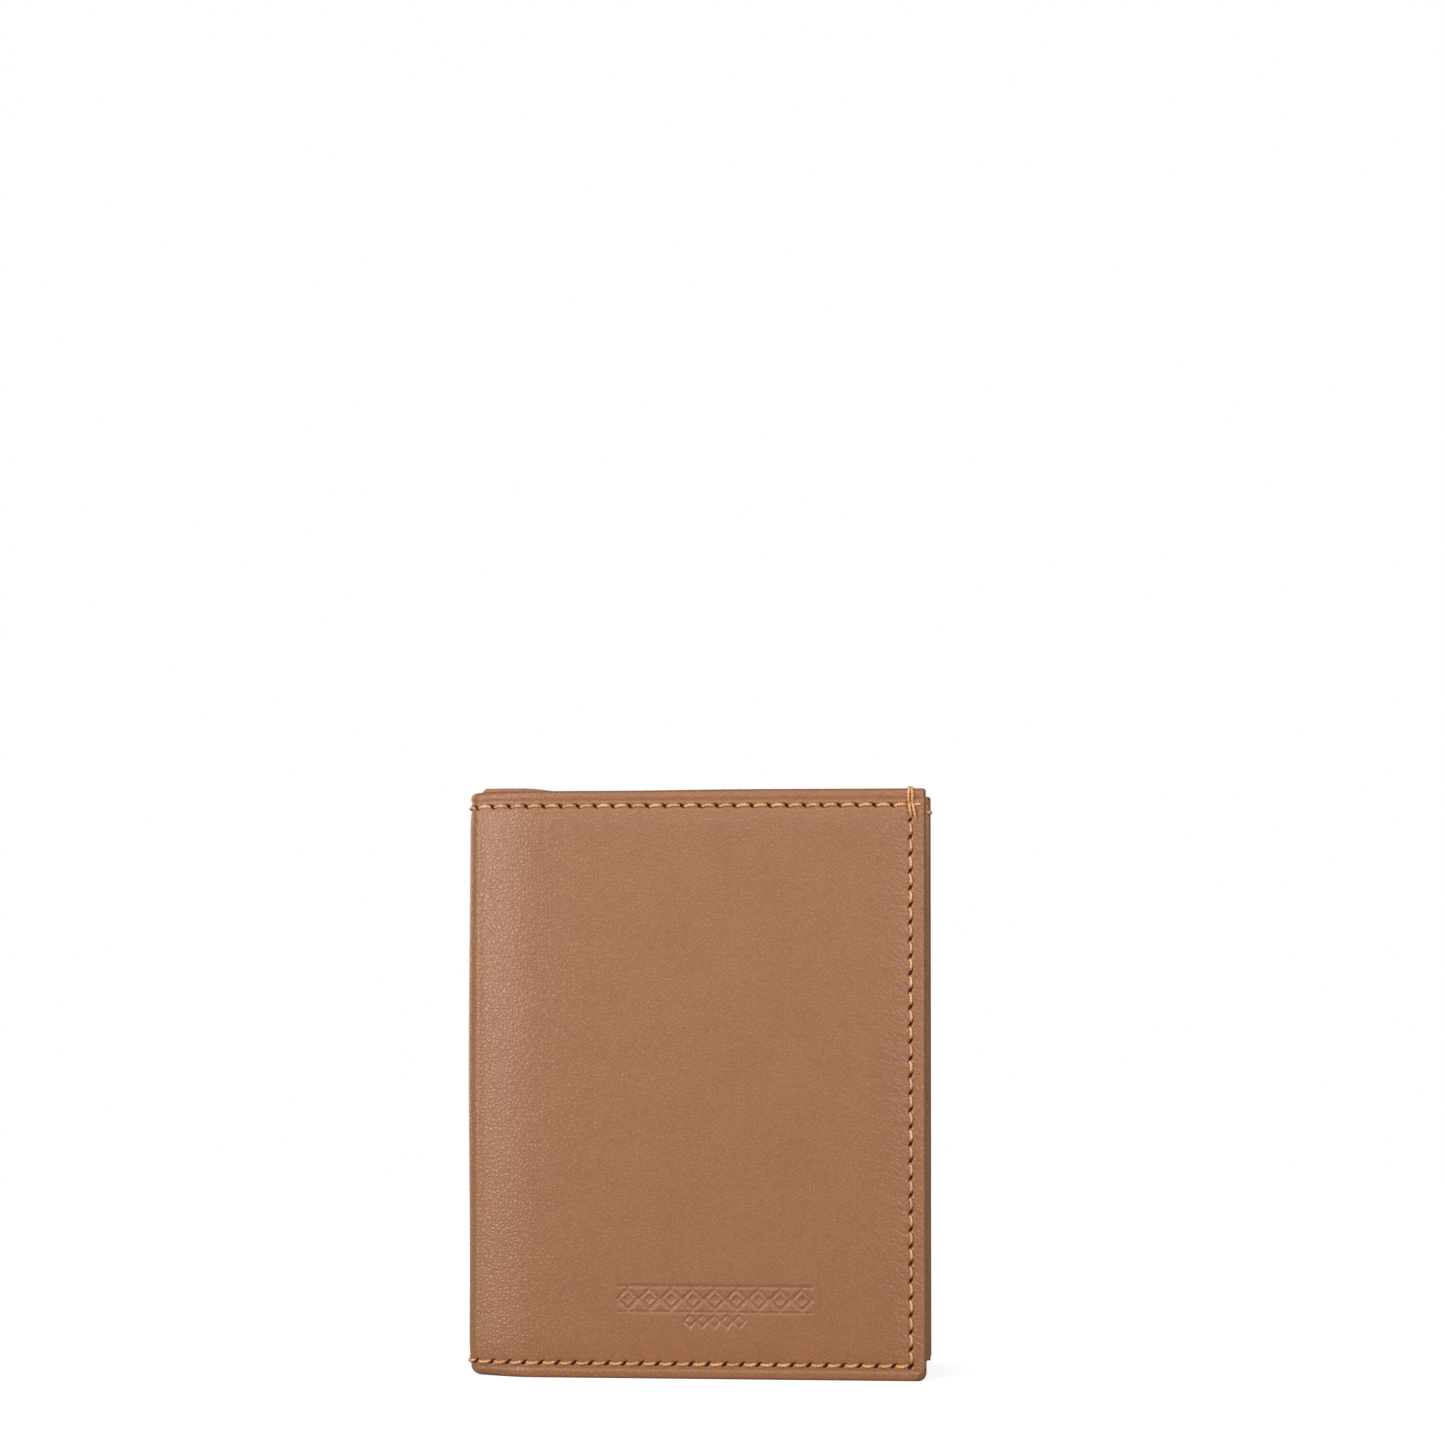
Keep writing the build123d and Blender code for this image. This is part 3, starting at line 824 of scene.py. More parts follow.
def build_window_frame():
    """Leather frame of the identity window, with a creased and rounded opening."""
    scene = bpy.context.scene
    shape, pockets, gauge = section(), scene.wallet_pockets, scene.wallet_layers.window
    left, right, low, high = window_place()
    border, corner = pockets.border, pockets.window_corner
    outer = rounded_outline(left, right, low, high, 1.2 * MM)
    opening = (left + border, right - border, low + border, high - border)
    hole = rounded_outline(*opening, corner)
    depth = layer_depths()["pocket"]
    inner_face = depth + gauge
    profile = [
        (0.0, depth), (0.0, inner_face - 0.25 * MM), (0.08 * MM, inner_face - 0.08 * MM),
        (0.3 * MM, inner_face), (1.9 * MM, inner_face), (2.45 * MM, inner_face - 0.1 * MM),
        (3.0 * MM, inner_face), (4.2 * MM, inner_face + 0.03 * MM), (4.9 * MM, inner_face),
        (5.1 * MM, inner_face - 0.1 * MM), (5.3 * MM, inner_face), (6.1 * MM, inner_face),
        (6.4 * MM, inner_face - 0.12 * MM), (6.5 * MM, inner_face - 0.3 * MM), (6.5 * MM, depth),
    ]
    rings = []
    for inset, deep in profile:
        place = outer + (hole - outer) * inset / border
        y = np.full(len(place), scene.wallet_body.half_thickness - deep)
        x_rest, y_rest = shape.to_rest(place[:, 0], y, BACK)
        rings.append(np.stack([x_rest, y_rest, place[:, 1]], axis=-1))
    around, faces = len(outer), []
    for k in range(len(rings)):
        a, b = k * around, ((k + 1) % len(rings)) * around
        faces += [[a + n, a + (n + 1) % around, b + (n + 1) % around, b + n] for n in range(around)]
    flat = np.concatenate([outer + (hole - outer) * inset / border for inset, _ in profile])
    return outward(make_object("window_frame_leather", np.concatenate(rings), faces, flat / MM))


def build_window_film():
    """Clear film behind the frame, not quite flat."""
    scene = bpy.context.scene
    shape, layers, pockets = section(), scene.wallet_layers, scene.wallet_pockets
    left, right, low, high = window_place()
    tuck = pockets.border - 3.0 * MM
    left, right, low, high = left + tuck, right - tuck, low + tuck, high - tuck
    depth = layer_depths()["pocket"]

    def face(deep):
        def points(x, z):
            u, v = (x - left) / (right - left), (z - low) / (high - low)
            wave = 0.1 * MM * np.sin(7 * u + 2 * v) * np.sin(math.pi * u) * np.sin(math.pi * v)
            y = scene.wallet_body.half_thickness - deep - 0.06 * MM - np.abs(wave)
            x_rest, y_rest = shape.to_rest(x, y, BACK)
            return np.stack([x_rest, y_rest, z], axis=-1)
        return points

    columns, rows = spaced([left, right], [2 * MM]), spaced([low, high], [2 * MM])
    gauge = 0.6 * layers.film
    return leaf_solid("window_film_clear", columns, rows, face(depth + gauge), face(depth), 0.0)


# ---- Node tree helper -----------------------------------------------------------------------
class Tree:
    """Short way to add and link nodes in one node tree."""

    def __init__(self, tree):
        self.tree = tree

    def add(self, kind, *values, **settings):
        """A node with its settings, and its first inputs given by values or by other sockets."""
        inputs = settings.pop("inputs", {})
        node = self.tree.nodes.new(kind)
        for key, value in settings.items():
            setattr(node, key, value)
        for key, value in list(enumerate(values)) + list(inputs.items()):
            self.put(node.inputs[key], value)
        return node

    def put(self, socket, value):
        """Give an input a value or link it to an output."""
        if isinstance(value, bpy.types.Node):
            value = value.outputs[0]
        if isinstance(value, bpy.types.NodeSocket):
            self.tree.links.new(value, socket)
        elif value is not None:
            socket.default_value = value

    def math(self, operation, *values):
        """A math node."""
        return self.add("ShaderNodeMath", *values, operation=operation).outputs[0]


def new_group(name, kind, inputs, outputs):
    """A node group with named sockets, and its input and output nodes."""
    group = bpy.data.node_groups.new(name, kind)
    for direction, sockets in (("INPUT", inputs), ("OUTPUT", outputs)):
        for label, socket, default in sockets:
            made = group.interface.new_socket(label, in_out=direction, socket_type=socket)
            if default is not None:
                made.default_value = default
    tree = Tree(group)
    return group, tree, tree.add("NodeGroupInput"), tree.add("NodeGroupOutput")


# ---- Stitches -------------------------------------------------------------------------------
def stitch_tree():
    """Geometry Nodes: one twisted stitch on each point, lying along the skin and arching off it."""
    name = "Stitch row"
    if name in bpy.data.node_groups:
        return bpy.data.node_groups[name]
    group, tree, given, result = new_group(name, "GeometryNodeTree", [
        ("Geometry", "NodeSocketGeometry", None),
        ("Stitch Length", "NodeSocketFloat", 0.0027),
        ("Thread Width", "NodeSocketFloat", 0.0007),
        ("Rise", "NodeSocketFloat", 0.0002),
        ("Sink", "NodeSocketFloat", 0.0005),
        ("Bow", "NodeSocketFloat", 0.0002),
        ("Twist", "NodeSocketFloat", 1.25),
        ("Slant", "NodeSocketFloat", 0.08),
        ("Seed", "NodeSocketInt", 7),
        ("Material", "NodeSocketMaterial", None),
    ], [("Geometry", "NodeSocketGeometry", None)])
    group.is_modifier = True
    get = given.outputs
    half = tree.math("MULTIPLY", get["Stitch Length"], 0.5)
    start = tree.add("ShaderNodeCombineXYZ", tree.math("MULTIPLY", half, -1.0))
    end = tree.add("ShaderNodeCombineXYZ", half)
    line = tree.add("GeometryNodeCurvePrimitiveLine", inputs={"Start": start, "End": end})
    curve = tree.add("GeometryNodeResampleCurve", inputs={"Curve": line, "Count": 9})
    share = tree.add("GeometryNodeSplineParameter").outputs["Factor"]
    off_middle = tree.math("SUBTRACT", tree.math("MULTIPLY", share, 2.0), 1.0)
    ends = tree.math("POWER", tree.math("ABSOLUTE", off_middle), 5.0)
    bowed = tree.math("SUBTRACT", 0.4, tree.math("POWER", off_middle, 2.0))
    aside = tree.math("MULTIPLY", bowed, get["Bow"])
    fall = tree.math("MULTIPLY", ends, tree.math("ADD", get["Rise"], get["Sink"]))
    lift = tree.add("ShaderNodeCombineXYZ", 0.0, aside, tree.math("SUBTRACT", get["Rise"], fall))
    arched = tree.add("GeometryNodeSetPosition", inputs={"Geometry": curve, "Offset": lift})
    turns = tree.math("MULTIPLY", tree.math("MULTIPLY", share, get["Twist"]), math.tau)
    twisted = tree.add("GeometryNodeSetCurveTilt", inputs={"Curve": arched, "Tilt": turns})
    slim = tree.math("SUBTRACT", 1.0, tree.math("MULTIPLY", ends, 0.4))
    tapered = tree.add("GeometryNodeSetCurveRadius", inputs={"Curve": twisted, "Radius": slim})
    ply = tree.add("GeometryNodeCurveStar", inputs={
        "Points": 3,
        "Inner Radius": tree.math("MULTIPLY", get["Thread Width"], 0.3),
        "Outer Radius": tree.math("MULTIPLY", get["Thread Width"], 0.56),
    })
    one = tree.add("GeometryNodeCurveToMesh", inputs={
        "Curve": tapered, "Profile Curve": ply.outputs["Curve"], "Fill Caps": True,
    })
    if "Scale" in one.inputs:
        radius = tree.add("GeometryNodeInputRadius")
        tree.put(one.inputs["Scale"], radius)
    along, out, size = (
        tree.add("GeometryNodeInputNamedAttribute", label, data_type=kind).outputs["Attribute"]
        for label, kind in (("along", "FLOAT_VECTOR"), ("out", "FLOAT_VECTOR"), ("size", "FLOAT"))
    )
    lying = tree.add("FunctionNodeAxesToRotation", primary_axis="Z", secondary_axis="X", inputs={
        "Primary Axis": out, "Secondary Axis": along,
    })
    spread = tree.add("FunctionNodeRandomValue", data_type="FLOAT", inputs={"Seed": get["Seed"]})
    low, high = (s for s in spread.inputs if s.name in ("Min", "Max") and s.type == "VALUE")
    tree.put(low, tree.math("MULTIPLY", get["Slant"], 0.5))
    tree.put(high, tree.math("MULTIPLY", get["Slant"], 1.5))
    drawn = next(s for s in spread.outputs if s.type == "VALUE")
    lean = tree.add("ShaderNodeCombineXYZ", 0.0, 0.0, drawn)
    leaned = tree.add("FunctionNodeRotateRotation", rotation_space="LOCAL", inputs={
        "Rotation": lying, "Rotate By": lean,
    })
    scale = tree.add("ShaderNodeCombineXYZ", size, 1.0, 1.0)
    placed = tree.add("GeometryNodeInstanceOnPoints", inputs={
        "Points": get["Geometry"], "Instance": one, "Rotation": leaned, "Scale": scale,
    })
    real = tree.add("GeometryNodeRealizeInstances", placed)
    smooth = tree.add("GeometryNodeSetShadeSmooth", real)
    finished = tree.add("GeometryNodeSetMaterial", inputs={
        "Geometry": smooth, "Material": get["Material"],
    })
    tree.put(result.inputs["Geometry"], finished)
    return group


def stitch_row(name, stations, material):
    """Mesh of stitches from stations: place, direction along the seam, direction out, size."""
    seams = bpy.context.scene.wallet_seams
    places, along, out, sizes = (np.array(v, float) for v in zip(*stations))
    mesh = bpy.data.meshes.new(name)
    mesh.from_pydata(places.tolist(), [], [])
    for label, kind, key, values in (
        ("along", "FLOAT_VECTOR", "vector", along), ("out", "FLOAT_VECTOR", "vector", out),
        ("size", "FLOAT", "value", sizes),
    ):
        mesh.attributes.new(label, kind, "POINT").data.foreach_set(key, values.ravel())
    points = bpy.data.objects.new(name + "_points", mesh)
    bpy.context.scene.collection.objects.link(points)
    modifier = points.modifiers.new("Stitches", "NODES")
    modifier.node_group = stitch_tree()
    values = {
        "Stitch Length": seams.stitch, "Thread Width": seams.thread, "Rise": seams.rise,
        "Sink": seams.sink, "Bow": seams.bow, "Twist": seams.twist, "Seed": seams.seed,
        "Material": material, "Slant": seams.slant,
    }
    for item in modifier.node_group.interface.items_tree:
        if item.item_type == "SOCKET" and item.in_out == "INPUT" and item.name in values:
            modifier[item.identifier] = values[item.name]
    bpy.context.view_layer.update()
    depsgraph = bpy.context.evaluated_depsgraph_get()
    plain = bpy.data.meshes.new_from_object(points.evaluated_get(depsgraph))
    plain.name = name
    for label in [a.name for a in plain.attributes if a.name in ("along", "out", "size")]:
        plain.attributes.remove(plain.attributes[label])
    bpy.data.objects.remove(points)
    bpy.data.meshes.remove(mesh)
    piece = bpy.data.objects.new(name, plain)
    bpy.context.scene.collection.objects.link(piece)
    if not plain.materials:
        plain.materials.append(material)
    return piece


def spread(first, last, pitch):
    """Places at even steps near the pitch, from first to last."""
    first, step, count = even(first, last, pitch)
    return [first + step * n for n in range(count)]


def outer_stations(side):
    """Stations of the outer seam on one cover half, from the middle of the nose round its edge."""
    body, seams = bpy.context.scene.wallet_body, bpy.context.scene.wallet_seams
    shape = section()
    end = free_end(side)
    stations = []

    def add(run, height, upright, size=1.0):
        along, out = shape.directions(run, side)
        if upright:
            along = UP
        outside = along * (-1 if upright or height < body.height / 2 else 1) * -side
        deeper = 0.1 * MM + 0.5 * MM * (1 - smoothstep(0.0, 3.2 * MM, run))
        depth = nose_pull(np.array(run), np.array(height)) + deeper
        place = shape.point(run, height_at(np.array(run), np.array(height)), depth, side)
        stations.append((place, outside, out, size))

    for upright, line, first, step, count in seam_rows(side):
        for n in range(0 if upright or side == BACK else -1, count):
            where = max(first + step * n, 0.0)
            add(*((line, where) if upright else (where, line)), upright, 0.9 if upright else 1.0)
    if side == FRONT:
        add(end - 0.55 * seams.margin, body.height - seams.margin_top, False, 0.62)
    return stations


def face_level(height, side):
    """Depth of the innermost leaf at a height, beside the pocket seams."""
    scene = bpy.context.scene
    layers, seams = scene.wallet_layers, scene.wallet_seams
    depth = layer_depths()["pocket"]
    tops = pocket_tops(side)
    covering = [n for n, top in enumerate(tops) if top > height - seams.stitch / 2]
    if covering:
        return depth + layers.pocket * (len(tops) - covering[0])
    return depth + (layers.window if side == BACK else 0.0)


def inner_stations(side):
    """Stations of the pocket seams on the inner face of one half."""
    scene = bpy.context.scene
    body, seams = scene.wallet_body, scene.wallet_seams
    shape = section()
    left, right = pocket_edges(side)
    edges = (left + seams.inner_margin, right + scene.wallet_layers.inset - seams.margin)
    turn = side * body.ajar_angle
    along_x = np.array([math.cos(turn), math.sin(turn), 0.0])
    inwards = np.array([math.sin(turn), -math.cos(turn), 0.0]) * side
    stations = []

    def add(x, height, along):
        y = body.half_thickness - face_level(height, side) + 0.04 * MM
        x_rest, y_rest = shape.to_rest(x, y, side)
        stations.append((np.array([float(x_rest), float(y_rest), height]), along, inwards, 0.96))

    high = body.height - LEAF_DROP - seams.margin
    gap_low = window_place()[2] - WINDOW_GAP
    for height in spread(seams.margin + seams.pitch / 2, high, seams.pitch):
        in_gap = gap_low - seams.stitch / 2 < height < gap_low + WINDOW_GAP + seams.stitch / 2
        if side == BACK and in_gap:
            continue
        for x in edges:
            add(x, height, UP)
    for x in spread(edges[0] + seams.pitch / 2, edges[1] - seams.pitch / 2, seams.pitch):
        add(x, seams.margin, along_x)
        add(x, high + seams.pitch / 2, along_x)
    return stations


def thread_tube(path, width, turns_per_mm=0.42):
    """Points and faces of a twisted thread laid along a smooth curve through the path's points."""
    path = np.array(path, float)
    fine, count = [], len(path) - 1
    for n in range(count):
        before, a, b, after = (path[min(max(n + k, 0), count)] for k in (-1, 0, 1, 2))
        for t in np.linspace(0, 1, 6, endpoint=False):
            fine.append(0.5 * (
                2 * a + (b - before) * t + (2 * before - 5 * a + 4 * b - after) * t**2
                + (3 * a - before - 3 * b + after) * t**3
            ))
    fine = np.array(fine + [path[-1]])
    ways = np.gradient(fine, axis=0)
    ways /= np.linalg.norm(ways, axis=1, keepdims=True)
    side = np.cross(ways[0], (0.3, 0.2, 0.93))
    points, faces, travelled, sides = [], [], 0.0, 6
    for n, (place, way) in enumerate(zip(fine, ways)):
        side = side - way * side.dot(way)
        side /= np.linalg.norm(side)
        other = np.cross(way, side)
        if n:
            travelled += np.linalg.norm(place - fine[n - 1]) / MM
        for k in range(sides):
            turn = math.tau * (k / sides + travelled * turns_per_mm)
            radius = width * (0.52 if k % 2 else 0.36)
            points.append(place + radius * (math.cos(turn) * side + math.sin(turn) * other))
    for n in range(len(fine) - 1):
        for k in range(sides):
            a, b = n * sides + k, n * sides + (k + 1) % sides
            faces.append([a, b, b + sides, a + sides])
    faces.append(list(range(sides))[::-1])
    faces.append([(len(fine) - 1) * sides + k for k in range(sides)])
    return points, faces


def build_threads(name, paths, material):
    """One piece of twisted threads along several paths."""
    points, faces = [], []
    for path in paths:
        more, rings = thread_tube(path, 1.08 * bpy.context.scene.wallet_seams.thread)
        faces += [[k + len(points) for k in ring] for ring in rings]
        points += more
    piece = outward(make_object(name, points, faces))
    piece.data.materials.append(material)
    return piece


def back_tack_paths():
    """Doubled thread over the front's upper edge beside its free corner."""
    body, seams = bpy.context.scene.wallet_body, bpy.context.scene.wallet_seams
    shape = section()
    line = free_end(FRONT) - seams.margin

    def skin(across, down, off):
        """Point beside the seam, so far under the upper edge and so deep in the leather."""
        return shape.point(line + across * MM, body.height - down * MM, off * MM, FRONT)

    strands = [[
        skin(across * 0.7, 2.85, 0.4), skin(across, 2.4, -0.1), skin(across * 1.1, 1.5, -0.26),
        skin(across, 0.75, -0.22), skin(across * 0.7, 0.2, 0.05), skin(across * 0.45, 0.0, 0.55),
        skin(across * 0.6, 0.2, 1.2), skin(across, 1.2, 1.5), skin(across, 2.4, 1.4),
    ] for across in (-0.38, 0.4)]
    for path in (
        ((-0.2, 2.95, 0.4), (-0.2, 3.45, -0.2), (-0.12, 4.4, -0.34), (0.1, 5.4, -0.26),
         (0.3, 6.2, 0.4)),
        ((0.35, 2.85, 0.4), (0.5, 3.4, -0.2), (0.78, 4.7, -0.36), (1.05, 6.0, -0.3),
         (1.2, 7.0, 0.4)),
    ):
        strands.append([skin(*step) for step in path])
    return strands


def back_wrap_paths():
    """The short stitch that shows on the inner side of the back's free edge."""
    body, seams = bpy.context.scene.wallet_body, bpy.context.scene.wallet_seams
    shape = section()
    end = free_end(BACK)
    height = body.height - seams.margin - 0.45 * MM
    corners = (
        (-1.4, 3.3), (-1.2, 3.9), (-0.8, 4.05), (-0.6, 3.6), (-0.5, 2.8), (-0.32, 1.9), (-0.4, 0.9),
    )
    return [[shape.point(end + u * MM, height, deep * MM, BACK) for u, deep in corners]]


# ---- Finishes -------------------------------------------------------------------------------
def ramp(tree, value, low, high, to_low=0.0, to_high=1.0):
    """A smooth map of a value between two ends."""
    return tree.add("ShaderNodeMapRange", value, low, high, to_low, to_high,
                    interpolation_type="SMOOTHSTEP").outputs[0]


def blend_colour(tree, amount, a, b):
    """Colour a, turning to b with the amount."""
    node = tree.add("ShaderNodeMix", data_type="RGBA")
    for name, value in (("Factor_Float", amount), ("A_Color", a), ("B_Color", b)):
        socket = next(k for k in node.inputs if k.identifier == name)
        tree.put(socket, (*value, 1.0) if isinstance(value, tuple) else value)
    return next(k for k in node.outputs if k.identifier == "Result_Color")


def grain_group():
    """Shader group: pebbled leather grain from coordinates in millimetres."""
    name = "Leather Grain"
    if name in bpy.data.node_groups:
        return bpy.data.node_groups[name]
    group, tree, given, result = new_group(name, "ShaderNodeTree", [
        ("Vector", "NodeSocketVector", None), ("Size", "NodeSocketFloat", 0.62),
        ("Wrinkles", "NodeSocketFloat", 0.3),
    ], [
        ("Height", "NodeSocketFloat", None), ("Pores", "NodeSocketFloat", None),
        ("Mottle", "NodeSocketFloat", None),
    ])
    vector = given.outputs["Vector"]
    scaled = tree.add("ShaderNodeVectorMath", vector, operation="DIVIDE",
                      inputs={1: tree.add("ShaderNodeCombineXYZ", *[given.outputs["Size"]] * 3)})
    warp = tree.add("ShaderNodeTexNoise", inputs={"Vector": scaled, "Scale": 0.45, "Detail": 2.0})
    moved = tree.add("ShaderNodeVectorMath", scaled, warp.outputs["Color"], operation="ADD")
    cells = tree.add("ShaderNodeTexVoronoi", feature="DISTANCE_TO_EDGE",
                     inputs={"Vector": moved, "Scale": 1.0})
    pebble = ramp(tree, cells.outputs["Distance"], 0.0, 0.42)
    fine = tree.add("ShaderNodeTexNoise", inputs={"Vector": scaled, "Scale": 0.9, "Detail": 0.5})
    height = tree.math("ADD", tree.math("MULTIPLY", pebble, 0.7),
                       tree.math("MULTIPLY", fine.outputs[0], 0.6))
    turned = tree.add("ShaderNodeMapping", vector, vector_type="TEXTURE", inputs={
        "Rotation": (0.0, 0.0, math.radians(35)), "Scale": (2.9, 1.3, 1.0)})
    folds = tree.add("ShaderNodeTexNoise", inputs={"Vector": turned, "Scale": 1.0, "Detail": 1.5})
    ridge = tree.math("ABSOLUTE", tree.math("SUBTRACT", folds.outputs[0], 0.5))
    height = tree.math("ADD", height, tree.math(
        "MULTIPLY", ramp(tree, ridge, 0.0, 0.17), given.outputs["Wrinkles"]))
    broad = tree.add("ShaderNodeTexNoise", inputs={"Vector": vector, "Scale": 0.09, "Detail": 5.0})
    tree.put(result.inputs["Height"], height)
    tree.put(result.inputs["Pores"], tree.math("SUBTRACT", 1.0, pebble))
    tree.put(result.inputs["Mottle"], ramp(tree, broad.outputs[0], 0.3, 0.7))
    return group


def holes_group():
    """Shader group: mask of needle holes at even steps along a seam."""
    name = "Needle Holes"
    if name in bpy.data.node_groups:
        return bpy.data.node_groups[name]
    group, tree, given, result = new_group(name, "ShaderNodeTree", [
        ("Along", "NodeSocketFloat", 0.0), ("Across", "NodeSocketFloat", 0.0),
        ("First", "NodeSocketFloat", 0.0), ("Step", "NodeSocketFloat", 3.6),
        ("Last", "NodeSocketFloat", 30.0), ("Long", "NodeSocketFloat", 0.5),
        ("Wide", "NodeSocketFloat", 0.35), ("Lean", "NodeSocketFloat", 0.5),
    ], [("Mask", "NodeSocketFloat", None)])
    get = given.outputs
    count = tree.math("DIVIDE", tree.math("SUBTRACT", get["Along"], get["First"]), get["Step"])
    counted = tree.math("MAXIMUM", tree.math("ROUND", count), 0.0)
    nearest = tree.math("MINIMUM", counted, get["Last"])
    off = tree.math("MULTIPLY", tree.math("SUBTRACT", count, nearest), get["Step"])
    a = tree.math("POWER", tree.math("DIVIDE", off, get["Long"]), 2.0)
    aside = tree.math("ADD", get["Across"], tree.math("MULTIPLY", off, get["Lean"]))
    b = tree.math("POWER", tree.math("DIVIDE", aside, get["Wide"]), 2.0)
    distance = tree.math("SQRT", tree.math("ADD", a, b))
    tree.put(result.inputs["Mask"], ramp(tree, distance, 0.55, 1.25, 1.0, 0.0))
    return group


def use_group(tree, group, **inputs):
    """A group node with its inputs given by name."""
    node = tree.add("ShaderNodeGroup", node_tree=group)
    for key, value in inputs.items():
        tree.put(node.inputs[key], value)
    return node


def new_material(name):
    """An empty node material, its tree and its surface shader."""
    material = bpy.data.materials.get(name)
    if material:
        bpy.data.materials.remove(material)
    material = bpy.data.materials.new(name)
    material.use_nodes = True
    material.node_tree.nodes.clear()
    tree = Tree(material.node_tree)
    shader = tree.add("ShaderNodeBsdfPrincipled")
    tree.add("ShaderNodeOutputMaterial", shader)
    return material, tree, shader


def skin_parts(tree):
    """The skin coordinates in millimetres: the vector, its run and its height."""
    skin = tree.add("ShaderNodeUVMap", uv_map="skin")
    parts = tree.add("ShaderNodeSeparateXYZ", skin)
    return skin, tree.math("ABSOLUTE", parts.outputs[0]), parts.outputs[1]


def cover_material(side):
    """Tan grained leather for one cover half, with painted shade in its needle holes, along its rolled edges
    and in its lower corner's pleat.
    """
    scene = bpy.context.scene
    body, look = scene.wallet_body, scene.wallet_look
    end = free_end(side)
    material, tree, shader = new_material(f"Cover leather, {HALVES[side]}")
    skin, run, height = skin_parts(tree)
    free = tree.math("SUBTRACT", end / MM, run)
    by_seam = ramp(tree, free, 3.0, 14.0, 1.0, 0.0)
    grain = use_group(tree, grain_group(), Vector=skin, Size=look.grain / MM,
                      Wrinkles=tree.math("ADD", tree.math("MULTIPLY", by_seam, 1.1), 0.35))
    holes = None
    for upright, line, first, step, count in seam_rows(side):
        along, across = (height, run) if upright else (run, height)
        tilt = -0.45 if upright else 0.5 if line > body.height / 2 else -0.6
        row = use_group(
            tree, holes_group(), Along=along, Across=tree.math("SUBTRACT", across, line / MM),
            First=(first - step / 2) / MM, Step=step / MM, Last=float(count + upright),
            Long=0.95 if upright else 0.8, Wide=0.36 if upright else 0.42,
            Lean=-side * tilt,
        ).outputs[0]
        holes = row if holes is None else tree.math("MAXIMUM", holes, row)
    # The hole under the back-tack, also painted dark as shade.
    if side == FRONT:
        tack = use_group(
            tree, holes_group(), Along=height, Last=0.0, Step=60.0,
            Across=tree.math("SUBTRACT", run, (end - scene.wallet_seams.margin) / MM - 0.1),
            First=body.height / MM - 2.95, Long=0.42, Wide=0.75, Lean=0.0,
        ).outputs[0]
        holes = tree.math("MAXIMUM", holes, tack)
    near_spine = ramp(tree, run, 8.0, 34.0, 1.0, 0.0)
    # Painted shade: the colour darkens along the last 0.9 mm of the cover's rolled edges.
    edge = tree.math("MINIMUM", free, tree.math(
        "MINIMUM", height, tree.math("SUBTRACT", body.height / MM, height)))
    pressed = ramp(tree, edge, -0.4, 0.9, 1.0, 0.0)
    # Painted shade in the pleat at the cover's lower free corner.
    pleat = tree.math("ADD", free, tree.math("MULTIPLY", height, 0.85))
    pressed = tree.math("MAXIMUM", pressed, ramp(tree, pleat, 2.6, 2.85, 1.5, 0.0))
    # Share of the deep colour: the grain's pores and mottle, plus the painted shade of the edges and the
    # pleat.
    darker = tree.math("ADD", tree.math("MULTIPLY", grain.outputs["Pores"], 0.42),
                       tree.math("MULTIPLY", grain.outputs["Mottle"], 0.08))
    darker = tree.math("ADD", darker, tree.math("MULTIPLY", pressed, 0.4))
    tan = blend_colour(tree, darker, tuple(look.leather), tuple(look.leather_deep))
    # Painted shade: the needle holes are coloured nearly black.
    tree.put(shader.inputs["Base Color"], blend_colour(tree, holes, tan, tuple(look.hole)))
    rough = tree.math("ADD", tree.math("MULTIPLY", grain.outputs["Pores"], 0.1), 0.27)
    tree.put(shader.inputs["Roughness"], tree.math("ADD", rough, tree.math("MULTIPLY", holes, 0.4)))
    strength = tree.math("ADD", tree.math("MULTIPLY", near_spine, 0.5), 0.6)
    relief = tree.math("SUBTRACT", tree.math("MULTIPLY", grain.outputs["Height"], strength),
                       tree.math("MULTIPLY", holes, 2.0))
    bump = tree.add("ShaderNodeBump", inputs={"Height": relief, "Distance": 0.062 * MM})
    tree.put(shader.inputs["Normal"], bump)
    sheen = tree.math("SUBTRACT", 0.5, tree.math("MULTIPLY", holes, 0.45))
    tree.put(shader.inputs["Specular IOR Level"], sheen)
    return material


def inner_material():
    """Smooth tan leather of the leaves."""
    look = bpy.context.scene.wallet_look
    material, tree, shader = new_material("Inner leather")
    skin, _, _ = skin_parts(tree)
    grain = use_group(tree, grain_group(), Vector=skin, Size=1.15 * look.grain / MM)
    darker = tree.math("ADD", tree.math("MULTIPLY", grain.outputs["Pores"], 0.2),
                       tree.math("MULTIPLY", grain.outputs["Mottle"], 0.18))
    tree.put(shader.inputs["Base Color"],
             blend_colour(tree, darker, tuple(look.inner), tuple(look.leather_deep)))
    tree.put(shader.inputs["Roughness"],
             tree.math("ADD", tree.math("MULTIPLY", grain.outputs["Pores"], 0.1), 0.48))
    bump = tree.add("ShaderNodeBump", inputs={
        "Height": grain.outputs["Height"], "Distance": 0.04 * MM})
    tree.put(shader.inputs["Normal"], bump)
    shader.inputs["Specular IOR Level"].default_value = 0.4
    return material


